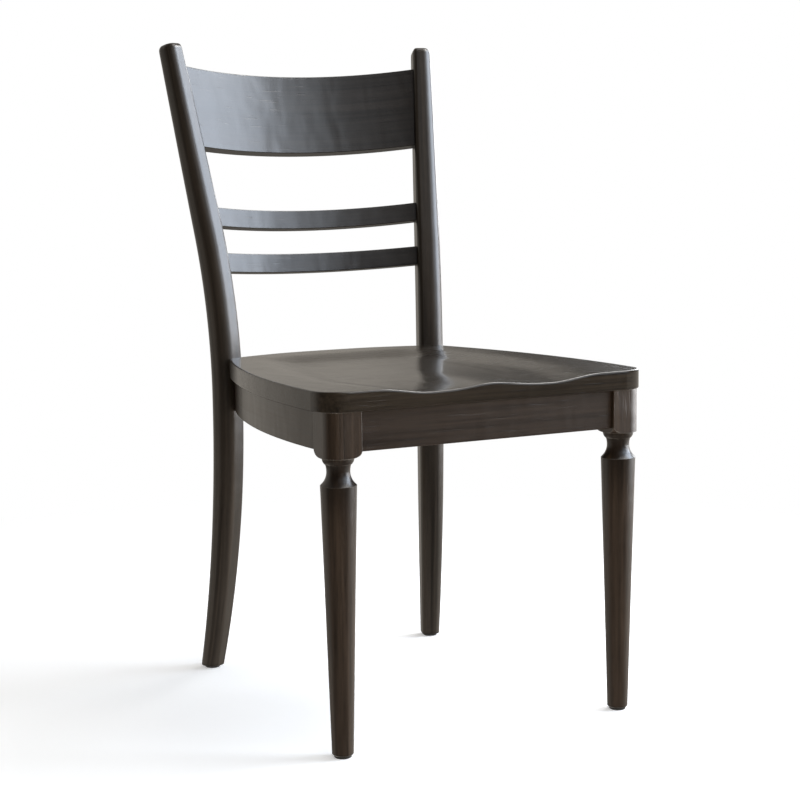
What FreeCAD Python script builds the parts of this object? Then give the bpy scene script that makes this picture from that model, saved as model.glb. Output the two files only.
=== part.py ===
import FreeCAD, Part
import math
import os
import re

import Sketcher

# Panel back side chair, stained hardwood. Millimetres and degrees.
# +Z is up, the chair's front faces -Y, and +X is to the right for someone who faces the chair.
# The origin lies on the floor under the middle of the chair.

Vector = FreeCAD.Vector
UP = Vector(0, 0, 1)

SIZES = {
    # Seat: a solid board with a carved saddle.
    "seat_height": 461.5,
    "seat_thickness": 25.5,
    "seat_front": -303.1,
    "seat_depth": 481.0,
    "seat_front_width": 474.4,
    "seat_rear_width": 340.4,
    "seat_side_radius": 1058.0,
    "seat_rear_radius": 460.0,
    "seat_corner_radius": 36.0,
    "seat_rear_corner_radius": 30.0,
    "seat_top_round": 2.4,
    "seat_bottom_round": 1.6,
    "notch_clearance": 0.4,
    # Saddle: two thigh hollows that open at the front edge and merge into a bowl.
    "saddle_depth": 7.5,
    "pommel_drop": 1.8,
    "pommel_width": 40.0,
    "pommel_length": 300.0,
    "saddle_front_rim": 74.0,
    "saddle_rim_run": 168.0,
    "saddle_side_rim": 40.0,
    "saddle_rear_rim": 44.0,
    "saddle_side_blend": 75.0,
    "saddle_rear_blend": 60.0,
    # Front legs: square block above a turned neck, collar and tapered shaft.
    "leg_spread": 414.0,
    "leg_line": -277.1,
    "leg_block": 45.0,
    "leg_block_corner": 18.0,
    "leg_arris": 1.0,
    "leg_shoulder_height": 378.0,
    "leg_shoulder_radius": 11.5,
    "leg_bead_radius": 20.2,
    "leg_groove_height": 370.4,
    "leg_groove_radius": 16.2,
    "leg_groove_step": 0.9,
    "leg_neck_height": 361.0,
    "leg_neck_radius": 14.7,
    "leg_collar_height": 344.0,
    "leg_collar_radius": 22.8,
    "leg_collar_lip": 1.2,
    "leg_foot_radius": 13.7,
    "leg_foot_ease": 2.0,
    # Rear posts: one sabre-shaped piece from foot to top, curved in one upright plane.
    "post_spread": 332.8,
    "post_line": 162.3,
    "post_turn": 23.5,
    "post_height": 907.0,
    "post_rake": 14.45,
    "post_bend_radius": 985.0,
    "post_joint_top": 400.0,
    "post_joint_bottom": 384.0,
    "post_foot_setback": 43.3,
    "post_depth": 37.4,
    "post_top_depth": 29.4,
    "post_foot_depth": 29.0,
    "post_width": 40.0,
    "post_top_width": 29.2,
    "post_foot_width": 29.0,
    "post_round": 12.0,
    "post_top_round": 8.0,
    "post_foot_round": 2.0,
    # Aprons under the seat.
    "apron_height": 50.5,
    "apron_thickness": 20.0,
    "apron_recess": 5.0,
    "apron_edge_ease": 1.0,
    "side_apron_radius": 1000.0,
    "side_apron_end": 5.0,
    # Back: a deep crest panel and two slats, all bent to one radius.
    "back_radius": 430.0,
    "back_edge_ease": 1.8,
    "crest_station": 761.0,
    "crest_height": 118.5,
    "crest_thickness": 21.0,
    "crest_length": 392.0,
    "upper_slat_station": 647.8,
    "lower_slat_station": 582.2,
    "slat_height": 27.6,
    "slat_thickness": 17.0,
    "upper_slat_length": 364.0,
    "lower_slat_length": 352.0,
    "mortise_clearance": 0.15,
    # Corner braces behind the aprons.
    "brace_height": 30.0,
    "brace_foot": 30.0,
    "brace_leg_gap": 30.0,
    "brace_post_gap": 62.0,
    "brace_rear_reach": 70.0,
    # Tenons at the apron ends, glued into mortises in the legs and posts.
    "tenon_thickness": 10.0,
    "tenon_height": 36.0,
    "leg_tenon_depth": 20.0,
    "post_tenon_depth": 12.0,
    "side_tenon_inset": 13.6,
    "tenon_clearance": 0.1,
    # Wood screws through the braces.
    "screw_diameter": 4.0,
    "screw_head_diameter": 8.0,
    "screw_head_height": 2.6,
    "screw_length": 26.0,
    "screw_seat_depth": 12.0,
    "screw_clearance": 0.15,
    # Push-in nylon glides under the four feet.
    "glide_height": 3.0,
    "glide_diameter": 22.0,
    "glide_edge_ease": 1.0,
    "glide_peg_diameter": 6.0,
    "glide_peg_length": 14.0,
    "glide_clearance": 0.1,
    # Stock left on a blank where a later cut takes it off.
    "stock_allowance": 8.0,
}

SIDES = (("left", -1), ("right", 1))

doc = FreeCAD.newDocument("side_chair")
sheet = doc.addObject("Spreadsheet::Sheet", "sizes")
for row, (alias, number) in enumerate(SIZES.items(), start=1):
    sheet.set(f"A{row}", alias)
    sheet.set(f"B{row}", str(number))
    sheet.setAlias(f"B{row}", alias)
doc.recompute()


def linked(formula):
    """Return a formula whose size names point at the sheet."""

    def point(word):
        return f"sizes.{word[0]}" if word[0] in SIZES else word[0]

    return re.sub(r"[a-z][a-z_]*", point, formula)


def value(formula):
    """Return the number that a formula gives with the sheet's present sizes."""
    return float(sheet.evalExpression(formula))


def bind(thing, formulas):
    """Tie properties of a document object to formulas of the sheet's sizes."""
    for name, formula in formulas.items():
        thing.setExpression(name, linked(formula))


def place(thing, x="0", y="0", z="0"):
    """Tie an object's position to the sheet."""
    bind(thing, {".Placement.Base.x": x, ".Placement.Base.y": y, ".Placement.Base.z": z})


def new_body(name):
    return doc.addObject("PartDesign::Body", name)


def new_sketch(body, name, plane, offset=None):
    """Add a sketch on one of the body's own origin planes."""
    sketch = body.newObject("Sketcher::SketchObject", name)
    support = next(p for p in body.Origin.OriginFeatures if p.Role == plane)
    sketch.AttachmentSupport = [(support, "")]
    sketch.MapMode = "FlatFace"
    if offset:
        bind(sketch, {".AttachmentOffset.Base.z": offset})
    return sketch


def limit(sketch, formula, kind, *elements):
    """Add a dimension to a sketch and tie it to a formula."""
    index = sketch.addConstraint(Sketcher.Constraint(kind, *elements, value(formula)))
    sketch.setExpression(f"Constraints[{index}]", linked(formula))


def pin(sketch, edge, end, corner):
    """Fix one end of an edge at a corner, which is a pair of formulas."""
    limit(sketch, corner[0], "DistanceX", edge, end)
    limit(sketch, corner[1], "DistanceY", edge, end)


def arc_between(start, finish, radius, bulge):
    """Return an arc that bulges to the right of its way for bulge 1, to the left for -1."""
    chord = finish - start
    rise = radius - math.sqrt(radius * radius - chord.Length * chord.Length / 4)
    right = Vector(chord.y, -chord.x, 0) / chord.Length
    crown = (start + finish) / 2 + right * rise * bulge
    if bulge > 0:
        return Part.Arc(start, crown, finish)
    return Part.Arc(finish, crown, start)


def draw(sketch, corners, arcs=None):
    """Draw a closed outline through corners; arcs maps an edge to its radius formula and bulge."""
    arcs = arcs or {}
    first = sketch.GeometryCount
    count = len(corners)
    points = [Vector(value(x), value(y), 0) for x, y in corners]
    ends = []
    for i in range(count):
        start, finish = points[i], points[(i + 1) % count]
        if i in arcs:
            radius, bulge = arcs[i]
            sketch.addGeometry(arc_between(start, finish, value(radius), bulge), False)
            ends.append((1, 2) if bulge > 0 else (2, 1))
        else:
            sketch.addGeometry(Part.LineSegment(start, finish), False)
            ends.append((1, 2))
    for i in range(count):
        following = (i + 1) % count
        join = (first + i, ends[i][1], first + following, ends[following][0])
        sketch.addConstraint(Sketcher.Constraint("Coincident", *join))
    for i, corner in enumerate(corners):
        pin(sketch, first + i, ends[i][0], corner)
    for i, (radius, bulge) in arcs.items():
        limit(sketch, radius, "Radius", first + i)


def pad(body, sketch, length, midplane=False):
    """Pad a sketch to a length given as a formula."""
    feature = body.newObject("PartDesign::Pad", f"{sketch.Name}Pad")
    feature.Profile = sketch
    feature.Midplane = midplane
    bind(feature, {"Length": length})
    doc.recompute()
    return feature


def turn(body, sketch, kind="PartDesign::Revolution"):
    """Turn a sketch round its own upright axis, as on a lathe."""
    feature = body.newObject(kind, f"{sketch.Name}Turned")
    feature.Profile = sketch
    feature.ReferenceAxis = (sketch, ["V_Axis"])
    feature.Angle = 360
    doc.recompute()
    return feature


def round_edges(body, feature, radius, chosen):
    """Round the edges of a body's feature for which chosen(edge) is true."""
    names = [f"Edge{i}" for i, edge in enumerate(feature.Shape.Edges, start=1) if chosen(edge)]
    fillet = body.newObject("PartDesign::Fillet", f"{feature.Name}Round")
    fillet.Base = (feature, names)
    bind(fillet, {"Radius": radius})
    doc.recompute()
    return fillet


def ease_edges(body, feature, size, chosen):
    """Break the edges of a body's feature for which chosen(edge) is true."""
    names = [f"Edge{i}" for i, edge in enumerate(feature.Shape.Edges, start=1) if chosen(edge)]
    chamfer = body.newObject("PartDesign::Chamfer", f"{feature.Name}Eased")
    chamfer.Base = (feature, names)
    bind(chamfer, {"Size": size})
    doc.recompute()
    return chamfer


def upright(edge):
    """Tell whether an edge is a plain vertical line."""
    box = edge.BoundBox
    return box.ZLength > 1 and box.XLength < 0.01 and box.YLength < 0.01


def cylinder(name, diameter, length, start, way):
    """Add a round bar that begins at start, a triple of formulas, and runs along way."""
    bar = doc.addObject("Part::Cylinder", name)
    bar.Placement = FreeCAD.Placement(Vector(), FreeCAD.Rotation(UP, way))
    bind(bar, {"Radius": f"({diameter}) / 2", "Height": length})
    place(bar, *start)
    return bar


def along(start, way, distance):
    """Return a triple of formulas for a point a distance from start along way."""
    return tuple(f"{s} + ({distance}) * ({w})" for s, w in zip(start, way))


def group(label, members):
    """Keep several separate solids together under one label."""
    compound = doc.addObject("Part::Compound", f"{label}_group")
    compound.Links = members
    compound.Label = label
    return compound


def cut(label, base, tools):
    """Take tools out of a base and give the rest its label."""
    tool = tools[0]
    if len(tools) > 1:
        tool = group(f"{label}_tools", tools)
    result = doc.addObject("Part::Cut", f"{label}_cut")
    result.Base = base
    result.Tool = tool
    result.Label = label
    return result


# Heights that several pieces share.
APRON_TOP = "(seat_height - seat_thickness)"
APRON_BOTTOM = f"({APRON_TOP} - apron_height)"
BRACE_BOTTOM = f"({APRON_TOP} - brace_height)"
LEG_X = "(leg_spread / 2)"
POST_X = "(post_spread / 2)"
BLOCK_HALF = "(leg_block / 2)"
TENON_BOTTOM = f"({APRON_BOTTOM} + (apron_height - tenon_height) / 2)"


def post_setback(height):
    """Return the formula for how far back a post's middle line is at a height above the joint."""
    bend_end = "(post_joint_top + post_bend_radius * sin(post_rake))"
    bend_rise = "(post_bend_radius * (1 - cos(post_rake)))"
    on_line = f"{bend_rise} + (({height}) - {bend_end}) * tan(post_rake)"
    on_bend = f"post_bend_radius - sqrt(post_bend_radius ^ 2 - (({height}) - post_joint_top) ^ 2)"
    return f"(({height}) > {bend_end} ? {on_line} : {on_bend})"


def circle_centre(start, finish, radius):
    """Return formulas for the centre of an arc that bulges to the right of its way."""
    run = (f"({finish[0]} - ({start[0]}))", f"({finish[1]} - ({start[1]}))")
    span = f"sqrt({run[0]} ^ 2 + {run[1]} ^ 2)"
    reach = f"sqrt(({radius}) ^ 2 - ({span} / 2) ^ 2) / {span}"
    x = f"(({start[0]} + ({finish[0]})) / 2 - {run[1]} * {reach})"
    y = f"(({start[1]} + ({finish[1]})) / 2 + {run[0]} * {reach})"
    return x, y


def arc_reach(centre, radius, y):
    """Return the formula for an arc's x at a given y, on its right-hand side."""
    return f"({centre[0]} + sqrt(({radius}) ^ 2 - (({y}) - {centre[1]}) ^ 2))"


# Seat outline: straight front edge, bowed sides and a bowed rear edge.
SEAT_REAR = "(seat_front + seat_depth)"
SEAT_REAR_SAG = "(seat_rear_radius - sqrt(seat_rear_radius ^ 2 - (seat_rear_width / 2) ^ 2))"
SEAT_CORNER_Y = f"({SEAT_REAR} - {SEAT_REAR_SAG})"
SEAT_FRONT_RIGHT = ("seat_front_width / 2", "seat_front")
SEAT_REAR_RIGHT = ("seat_rear_width / 2", SEAT_CORNER_Y)
SEAT_SIDE_CENTRE = circle_centre(SEAT_FRONT_RIGHT, SEAT_REAR_RIGHT, "seat_side_radius")

# Side apron: its outer face runs from behind the leg block to the front of the post.
FRONT_FACE = f"(leg_line - {BLOCK_HALF} + apron_recess)"
FRONT_INNER = f"({FRONT_FACE} + apron_thickness)"
SIDE_START = (f"({LEG_X} + {BLOCK_HALF} - apron_recess)", f"(leg_line + {BLOCK_HALF})")
POST_FRONT = (
    f"({POST_X} - sin(post_turn) * (post_depth / 2 + tenon_clearance))",
    "(post_line - cos(post_turn) * (post_depth / 2 + tenon_clearance))",
)
SIDE_FINISH = (
    f"({POST_FRONT[0]} + cos(post_turn) * side_apron_end)",
    f"({POST_FRONT[1]} - sin(post_turn) * side_apron_end)",
)
SIDE_CENTRE = circle_centre(SIDE_START, SIDE_FINISH, "side_apron_radius")
SIDE_INNER_RADIUS = "(side_apron_radius - apron_thickness)"

# Rear apron: straight, between the inner faces of the posts.
POST_INNER = (
    f"({POST_X} - cos(post_turn) * (post_width / 2 + tenon_clearance))",
    "(post_line + sin(post_turn) * (post_width / 2 + tenon_clearance))",
)
REAR_FRONT = f"({POST_INNER[1]} - apron_thickness / 2)"
REAR_BACK = f"({POST_INNER[1]} + apron_thickness / 2)"


def mirrored(side, corner):
    """Return a corner for the left (-1) or right (1) side."""
    return f"{side} * ({corner[0]})", corner[1]


def one_way(side, corners, arcs=None):
    """Return corners and arcs for a side, in an order that keeps the outline anticlockwise."""
    arcs = arcs or {}
    if side > 0:
        return corners, arcs
    count = len(corners)
    turned = [mirrored(-1, corner) for corner in reversed(corners)]
    return turned, {(count - 2 - i) % count: arc for i, arc in arcs.items()}


def make_front_leg(name, side):
    """Make a front leg: a square block with rounded outer corner, turned below its shoulders."""
    body = new_body(f"{name}_front_leg_blank")
    place(body, f"{side} * {LEG_X}", "leg_line")
    lip_x = "(leg_collar_radius - leg_collar_lip)"
    lip_z = "(leg_collar_height + leg_collar_lip)"
    flare = f"({lip_x} - leg_neck_radius)"
    flare_drop = f"(leg_neck_height - {lip_z})"
    throat = "(leg_groove_radius - leg_neck_radius)"
    throat_rise = "(leg_groove_height - leg_neck_height)"
    bead = "(leg_bead_radius - leg_groove_radius - leg_groove_step)"
    bead_rise = "(leg_shoulder_height - leg_groove_height)"
    profile = new_sketch(body, f"{name}_leg_profile", "XZ_Plane")
    corners = [
        ("0", "glide_height"),
        ("leg_foot_radius - leg_foot_ease", "glide_height"),
        ("leg_foot_radius", "glide_height + leg_foot_ease"),
        ("leg_collar_radius", "leg_collar_height"),
        (lip_x, lip_z),
        ("leg_neck_radius", "leg_neck_height"),
        ("leg_groove_radius", "leg_groove_height"),
        ("leg_groove_radius + leg_groove_step", "leg_groove_height"),
        ("leg_bead_radius", "leg_shoulder_height"),
        ("leg_bead_radius", "leg_shoulder_height + leg_shoulder_radius"),
        ("0", "leg_shoulder_height + leg_shoulder_radius"),
    ]
    arcs = {
        4: (f"({flare} ^ 2 + {flare_drop} ^ 2) / (2 * {flare})", -1),
        5: (f"({throat} ^ 2 + {throat_rise} ^ 2) / (2 * {throat})", -1),
        7: (f"({bead} ^ 2 + {bead_rise} ^ 2) / (2 * {bead})", 1),
    }
    draw(profile, corners, arcs)
    turn(body, profile)
    square = new_sketch(body, f"{name}_leg_square", "XY_Plane", "leg_shoulder_height")
    half = BLOCK_HALF
    draw(square, [(f"-{half}", f"-{half}"), (half, f"-{half}"), (half, half), (f"-{half}", half)])
    block = pad(body, square, f"{APRON_TOP} - leg_shoulder_height")
    outer = value(f"{side} * {half}")
    front = value(f"-{half}")

    def outer_front(edge):
        middle = edge.CenterOfMass
        return upright(edge) and abs(middle.x - outer) < 0.1 and abs(middle.y - front) < 0.1

    block = round_edges(body, block, "leg_block_corner", outer_front)
    inner_rear = Vector(-outer, -front, 0)

    def arris(edge):
        middle = edge.CenterOfMass
        flat = Vector(middle.x, middle.y, 0)
        corner = abs(abs(flat.x) - abs(outer)) < 0.1 and abs(abs(flat.y) - abs(front)) < 0.1
        return upright(edge) and corner and (flat - inner_rear).Length > 1

    round_edges(body, block, "leg_arris", arris)
    reach = f"({BLOCK_HALF} * sqrt(2) + stock_allowance)"
    shoulder = new_sketch(body, f"{name}_leg_shoulder", "XZ_Plane")
    outline = [
        ("leg_bead_radius", "leg_shoulder_height - stock_allowance"),
        (reach, "leg_shoulder_height - stock_allowance"),
        (reach, "leg_shoulder_height + leg_shoulder_radius"),
        ("leg_bead_radius + leg_shoulder_radius", "leg_shoulder_height + leg_shoulder_radius"),
        ("leg_bead_radius", "leg_shoulder_height"),
    ]
    draw(shoulder, outline, {3: ("leg_shoulder_radius", -1)})
    before = body.Shape.Volume
    turn(body, shoulder, "PartDesign::Groove")
    if not body.Shape.Volume < before - 100:
        raise RuntimeError("the leg's shoulders were not turned")
    return body


def make_post(name, side):
    """Make a rear post blank: sawn to its side shape, tapered in width, then rounded over."""
    body = new_body(f"{name}_rear_post_blank")
    lean = math.degrees(math.atan2(value("cos(post_turn)"), side * value("sin(post_turn)")))
    body.Placement = FreeCAD.Placement(Vector(), FreeCAD.Rotation(UP, lean))
    place(body, f"{side} * {POST_X}", "post_line")
    top_back = post_setback("post_height")
    front = "-post_depth / 2"
    rear = "post_depth / 2"
    fixed = {
        "top_rear": (
            f"{top_back} + post_top_depth / 2 * cos(post_rake)",
            "post_height - post_top_depth / 2 * sin(post_rake)",
        ),
        "top_front": (
            f"{top_back} - post_top_depth / 2 * cos(post_rake)",
            "post_height + post_top_depth / 2 * sin(post_rake)",
        ),
        "joint_top_front": (front, "post_joint_top"),
        "joint_low_front": (front, "post_joint_bottom"),
        "foot_front": ("post_foot_setback - post_foot_depth / 2", "glide_height"),
        "foot_rear": ("post_foot_setback + post_foot_depth / 2", "glide_height"),
        "joint_low_rear": (rear, "post_joint_bottom"),
        "joint_top_rear": (rear, "post_joint_top"),
    }
    at = {key: Vector(value(x), value(y), 0) for key, (x, y) in fixed.items()}
    rake = math.radians(value("post_rake"))
    radius = value("post_bend_radius")
    bend = Vector(radius * (1 - math.cos(rake)), radius * math.sin(rake), 0)
    half_bend = Vector(radius * (1 - math.cos(rake / 2)), radius * math.sin(rake / 2), 0)
    bend_front = at["joint_top_front"] + bend
    bend_rear = at["joint_top_rear"] + bend

    def leg_curve(joint, foot):
        """Return the arc of the lower leg that leaves the joint upright."""
        run = foot.x - joint.x
        fall = joint.y - foot.y
        bow = (run * run + fall * fall) / (2 * run)
        centre = Vector(joint.x + bow, joint.y, 0)
        middle = (joint + foot) / 2 - centre
        return Part.Arc(joint, centre + middle * (bow / middle.Length), foot)

    profile = new_sketch(body, f"{name}_post_profile", "XZ_Plane")
    edges = [
        Part.LineSegment(at["top_rear"], at["top_front"]),
        Part.LineSegment(at["top_front"], bend_front),
        Part.Arc(bend_front, at["joint_top_front"] + half_bend, at["joint_top_front"]),
        Part.LineSegment(at["joint_top_front"], at["joint_low_front"]),
        leg_curve(at["joint_low_front"], at["foot_front"]),
        Part.LineSegment(at["foot_front"], at["foot_rear"]),
        leg_curve(at["joint_low_rear"], at["foot_rear"]),
        Part.LineSegment(at["joint_low_rear"], at["joint_top_rear"]),
        Part.Arc(bend_rear, at["joint_top_rear"] + half_bend, at["joint_top_rear"]),
        Part.LineSegment(bend_rear, at["top_rear"]),
    ]
    profile.addGeometry(edges, False)
    joins = [(0, 2, 1, 1), (4, 2, 5, 1), (5, 2, 6, 2), (9, 2, 0, 1)]
    smooth = [(1, 2, 2, 1), (2, 2, 3, 1), (3, 2, 4, 1), (6, 1, 7, 1), (7, 2, 8, 2), (8, 1, 9, 1)]
    for join in joins:
        profile.addConstraint(Sketcher.Constraint("Coincident", *join))
    for join in smooth:
        profile.addConstraint(Sketcher.Constraint("Tangent", *join))
    pinned = {
        "top_rear": (0, 1),
        "top_front": (0, 2),
        "joint_top_front": (3, 1),
        "joint_low_front": (3, 2),
        "foot_front": (5, 1),
        "foot_rear": (5, 2),
        "joint_low_rear": (7, 1),
        "joint_top_rear": (7, 2),
    }
    for key, (edge, end) in pinned.items():
        pin(profile, edge, end, fixed[key])
    for edge in (2, 8):
        limit(profile, "post_bend_radius", "Radius", edge)
    pad(body, profile, "post_width + 2 * stock_allowance", midplane=True)

    taper = new_sketch(body, f"{name}_post_taper", "YZ_Plane")
    clear = "(post_width / 2 + 2 * stock_allowance)"
    crown = "(post_height + post_top_depth / 2 * sin(post_rake))"
    upper_run = f"({crown} - post_joint_top)"
    lower_run = "(post_joint_bottom - glide_height)"
    upper_step = "((post_width - post_top_width) / 2)"
    lower_step = "((post_width - post_foot_width) / 2)"
    corners = [
        ("post_foot_width / 2", "-stock_allowance"),
        (clear, "-stock_allowance"),
        (clear, f"{crown} + stock_allowance"),
        ("post_top_width / 2", f"{crown} + stock_allowance"),
        ("post_top_width / 2", crown),
        ("post_width / 2", "post_joint_top"),
        ("post_width / 2", "post_joint_bottom"),
        ("post_foot_width / 2", "glide_height"),
    ]
    arcs = {
        4: (f"({upper_run} ^ 2 + {upper_step} ^ 2) / (2 * {upper_step})", -1),
        6: (f"({lower_run} ^ 2 + {lower_step} ^ 2) / (2 * {lower_step})", -1),
    }
    for flank in (1, -1):
        draw(taper, *one_way(flank, corners, arcs))
    before = body.Shape.Volume
    tapered = body.newObject("PartDesign::Pocket", f"{name}_post_tapered")
    tapered.Profile = taper
    tapered.Type = "ThroughAll"
    tapered.Midplane = True
    doc.recompute()
    if not body.Shape.Volume < before * 0.9:
        raise RuntimeError("the post was not tapered")
    top = value("post_height")
    foot = value("glide_height")
    band = value("post_top_depth / 5")
    rounded = round_edges(body, tapered, "post_round", lambda edge: edge.BoundBox.ZLength > 2 * band)

    def round_top(edge):
        box = edge.BoundBox
        return box.ZMin > top - band and box.ZMax < top + band

    domed = round_edges(body, rounded, "post_top_round", round_top)
    round_edges(body, domed, "post_foot_round", lambda edge: edge.BoundBox.ZMax < foot + 0.01)
    return body


def make_board(label, corners, arcs, height, bottom, edge_round=None):
    """Make a board with a plan outline, padded upward from a bottom height."""
    body = new_body(f"{label}_board")
    plan = new_sketch(body, f"{label}_plan", "XY_Plane", bottom)
    draw(plan, corners, arcs)
    board = pad(body, plan, height)
    if edge_round:
        ease_bottom(body, board, edge_round, value(bottom))
    return body


def ease_bottom(body, board, size, low):
    """Ease the two long lower arrises of a board."""
    ease_edges(body, board, size, lambda edge: edge.BoundBox.ZMax < low + 0.01 and edge.Length > 100)


def make_rail(label, station, height, thickness, length, clearance=None):
    """Make a bent rail of the back that leans with the posts; with clearance, the mortise for it."""
    spare = clearance or "0"
    body = new_body(f"{label}_rail")
    middle = f"({station} + {height} / 2 * cos(post_rake))"
    reach = f"({POST_X} + sin(post_turn) * {post_setback(middle)})"
    slope = f"(({post_setback(f'{middle} + 1')} - {post_setback(f'{middle} - 1')}) / 2)"
    chord = f"sqrt(back_radius ^ 2 - {reach} ^ 2)"
    lean = f"atan({slope} * (cos(post_turn) + sin(post_turn) * {reach} / {chord}))"
    bow = f"(back_radius - {chord})"
    ahead = f"tan({lean}) * ({middle} - {station})"
    body.Placement = FreeCAD.Placement(Vector(), FreeCAD.Rotation(Vector(1, 0, 0), -1))
    bind(body, {".Placement.Rotation.Angle": f"-({lean})"})
    place(
        body,
        "0",
        f"post_line + cos(post_turn) * {post_setback(middle)} - {ahead} + cos({lean}) * {bow}",
        f"{station} - sin({lean}) * {bow}",
    )
    half = f"({length} / 2 + {spare})"
    inner = f"(back_radius - {thickness} / 2 - {spare})"
    outer = f"(back_radius + {thickness} / 2 + {spare})"
    front_y = f"sqrt({inner} ^ 2 - {half} ^ 2) - back_radius"
    back_y = f"sqrt({outer} ^ 2 - {half} ^ 2) - back_radius"
    plan = new_sketch(body, f"{label}_bend", "XY_Plane", f"-{spare}" if clearance else None)
    corners = [(f"-{half}", front_y), (half, front_y), (half, back_y), (f"-{half}", back_y)]
    draw(plan, corners, {0: (inner, -1), 2: (outer, 1)})
    bent = pad(body, plan, f"{height} + 2 * {spare}")
    ease_edges(body, bent, "back_edge_ease", lambda edge: edge.Length > value(f"{length} / 2"))
    return body


def smooth_step(share):
    """Rise smoothly from 0 to 1."""
    share = min(max(share, 0.0), 1.0)
    return share * share * (3 - 2 * share)


def make_saddle_tool():
    """Make the solid above the carved seat top, from the saddle's formula."""
    front = value("seat_front")
    rear = value(f"{SEAT_REAR} - saddle_rear_rim")
    centre_x = value(SEAT_SIDE_CENTRE[0])
    centre_y = value(SEAT_SIDE_CENTRE[1])
    radius = value("seat_side_radius")
    hollow = value("saddle_depth")
    ridge = value("saddle_depth - pommel_drop")
    front_rim = value("saddle_front_rim")
    side_rim = value("saddle_side_rim")
    rim_run = value("saddle_rim_run")
    side_blend = value("saddle_side_blend")
    rear_blend = value("saddle_rear_blend")
    pommel_width = value("pommel_width")
    pommel_length = value("pommel_length")
    top = value("seat_height")

    def drop(x, y):
        back = smooth_step((y - front) / rim_run)
        rim = front_rim * (1 - back) + side_rim * back
        edge = centre_x + math.sqrt(radius * radius - (y - centre_y) ** 2)
        across = smooth_step((edge - rim - abs(x)) / side_blend)
        behind = smooth_step((rear - y) / rear_blend)
        pommel = math.exp(-((x / pommel_width) ** 2)) * (1 - smooth_step((y - front) / pommel_length))
        return (hollow * across - ridge * pommel) * behind

    half = value("seat_front_width / 2 + 2 * stock_allowance")
    near = value("seat_front - stock_allowance")
    far = value(f"{SEAT_REAR} + stock_allowance")
    columns = 41
    rows = 37
    grid = []
    for i in range(columns):
        x = -half + 2 * half * i / (columns - 1)
        line = []
        for j in range(rows):
            y = near + (far - near) * j / (rows - 1)
            line.append(Vector(x, y, top - drop(x, y)))
        grid.append(line)
    surface = Part.BSplineSurface()
    surface.interpolate(grid)
    tool = doc.addObject("Part::Feature", "saddle_tool")
    tool.Shape = surface.toShape().extrude(UP * value("4 * stock_allowance"))
    return tool


def make_notch_tool(name, side):
    """Make the post-shaped prism that notches a rear corner of the seat."""
    body = new_body(f"{name}_notch_tool")
    lean = math.degrees(math.atan2(value("cos(post_turn)"), side * value("sin(post_turn)")))
    body.Placement = FreeCAD.Placement(Vector(), FreeCAD.Rotation(UP, lean))
    place(body, f"{side} * {POST_X}", "post_line")
    plan = new_sketch(body, f"{name}_notch_plan", "XY_Plane", f"{APRON_TOP} - stock_allowance")
    deep = "(post_depth / 2 + notch_clearance)"
    back = f"(post_depth / 2 + notch_clearance + {post_setback('seat_height')})"
    wide = "(post_width / 2 + notch_clearance)"
    draw(plan, [(f"-{deep}", f"-{wide}"), (back, f"-{wide}"), (back, wide), (f"-{deep}", wide)])
    prism = pad(body, plan, "seat_thickness + 3 * stock_allowance")
    round_edges(body, prism, "post_round", upright)
    return body


def make_seat():
    """Make the seat: sawn to its outline, carved, notched for the posts, arrises eased."""
    blank = new_body("seat_blank")
    plan = new_sketch(blank, "seat_plan", "XY_Plane", APRON_TOP)
    corners = [
        mirrored(-1, SEAT_FRONT_RIGHT),
        SEAT_FRONT_RIGHT,
        SEAT_REAR_RIGHT,
        mirrored(-1, SEAT_REAR_RIGHT),
    ]
    arcs = {1: ("seat_side_radius", 1), 2: ("seat_rear_radius", 1), 3: ("seat_side_radius", 1)}
    draw(plan, corners, arcs)
    sawn = pad(blank, plan, "seat_thickness + stock_allowance")
    middle = value("seat_front + seat_depth / 2")

    def front_corner(edge):
        return upright(edge) and edge.CenterOfMass.y < middle

    def rear_corner(edge):
        return upright(edge) and edge.CenterOfMass.y > middle

    rear = round_edges(blank, sawn, "seat_rear_corner_radius", rear_corner)
    round_edges(blank, rear, "seat_corner_radius", front_corner)
    carved = cut("seat_carved", blank, [make_saddle_tool()])
    doc.recompute()
    low = value(APRON_TOP)
    high = low + value("seat_thickness / 2")
    arrises = []
    for i, edge in enumerate(carved.Shape.Edges, start=1):
        if edge.BoundBox.ZMin > high and edge.Length > 20:
            arrises.append((i, value("seat_top_round"), value("seat_top_round")))
        if edge.BoundBox.ZMax < low + 0.01:
            arrises.append((i, value("seat_bottom_round"), value("seat_bottom_round")))
    eased = doc.addObject("Part::Fillet", "seat_eased")
    eased.Base = carved
    eased.Edges = arrises
    doc.recompute()
    return eased


def make_brace(label, side, corners):
    """Make a diagonal corner brace whose ends sit on two aprons."""
    return make_board(label, *one_way(side, corners), "brace_height", BRACE_BOTTOM)


def make_screw(name, length, start, way):
    """Make a flat-headed wood screw whose head rests at start and whose point runs along way."""
    body = new_body(name)
    body.Placement = FreeCAD.Placement(Vector(), FreeCAD.Rotation(UP, way))
    place(body, *start)
    profile = new_sketch(body, f"{name}_profile", "XZ_Plane")
    shank = "screw_diameter / 2"
    head = "screw_head_diameter / 2"
    corners = [
        ("0", "-screw_head_height"),
        (head, "-screw_head_height"),
        (head, "0"),
        (shank, "0"),
        (shank, length),
        ("0", length),
    ]
    draw(profile, corners)
    turn(body, profile)
    return body


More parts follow.
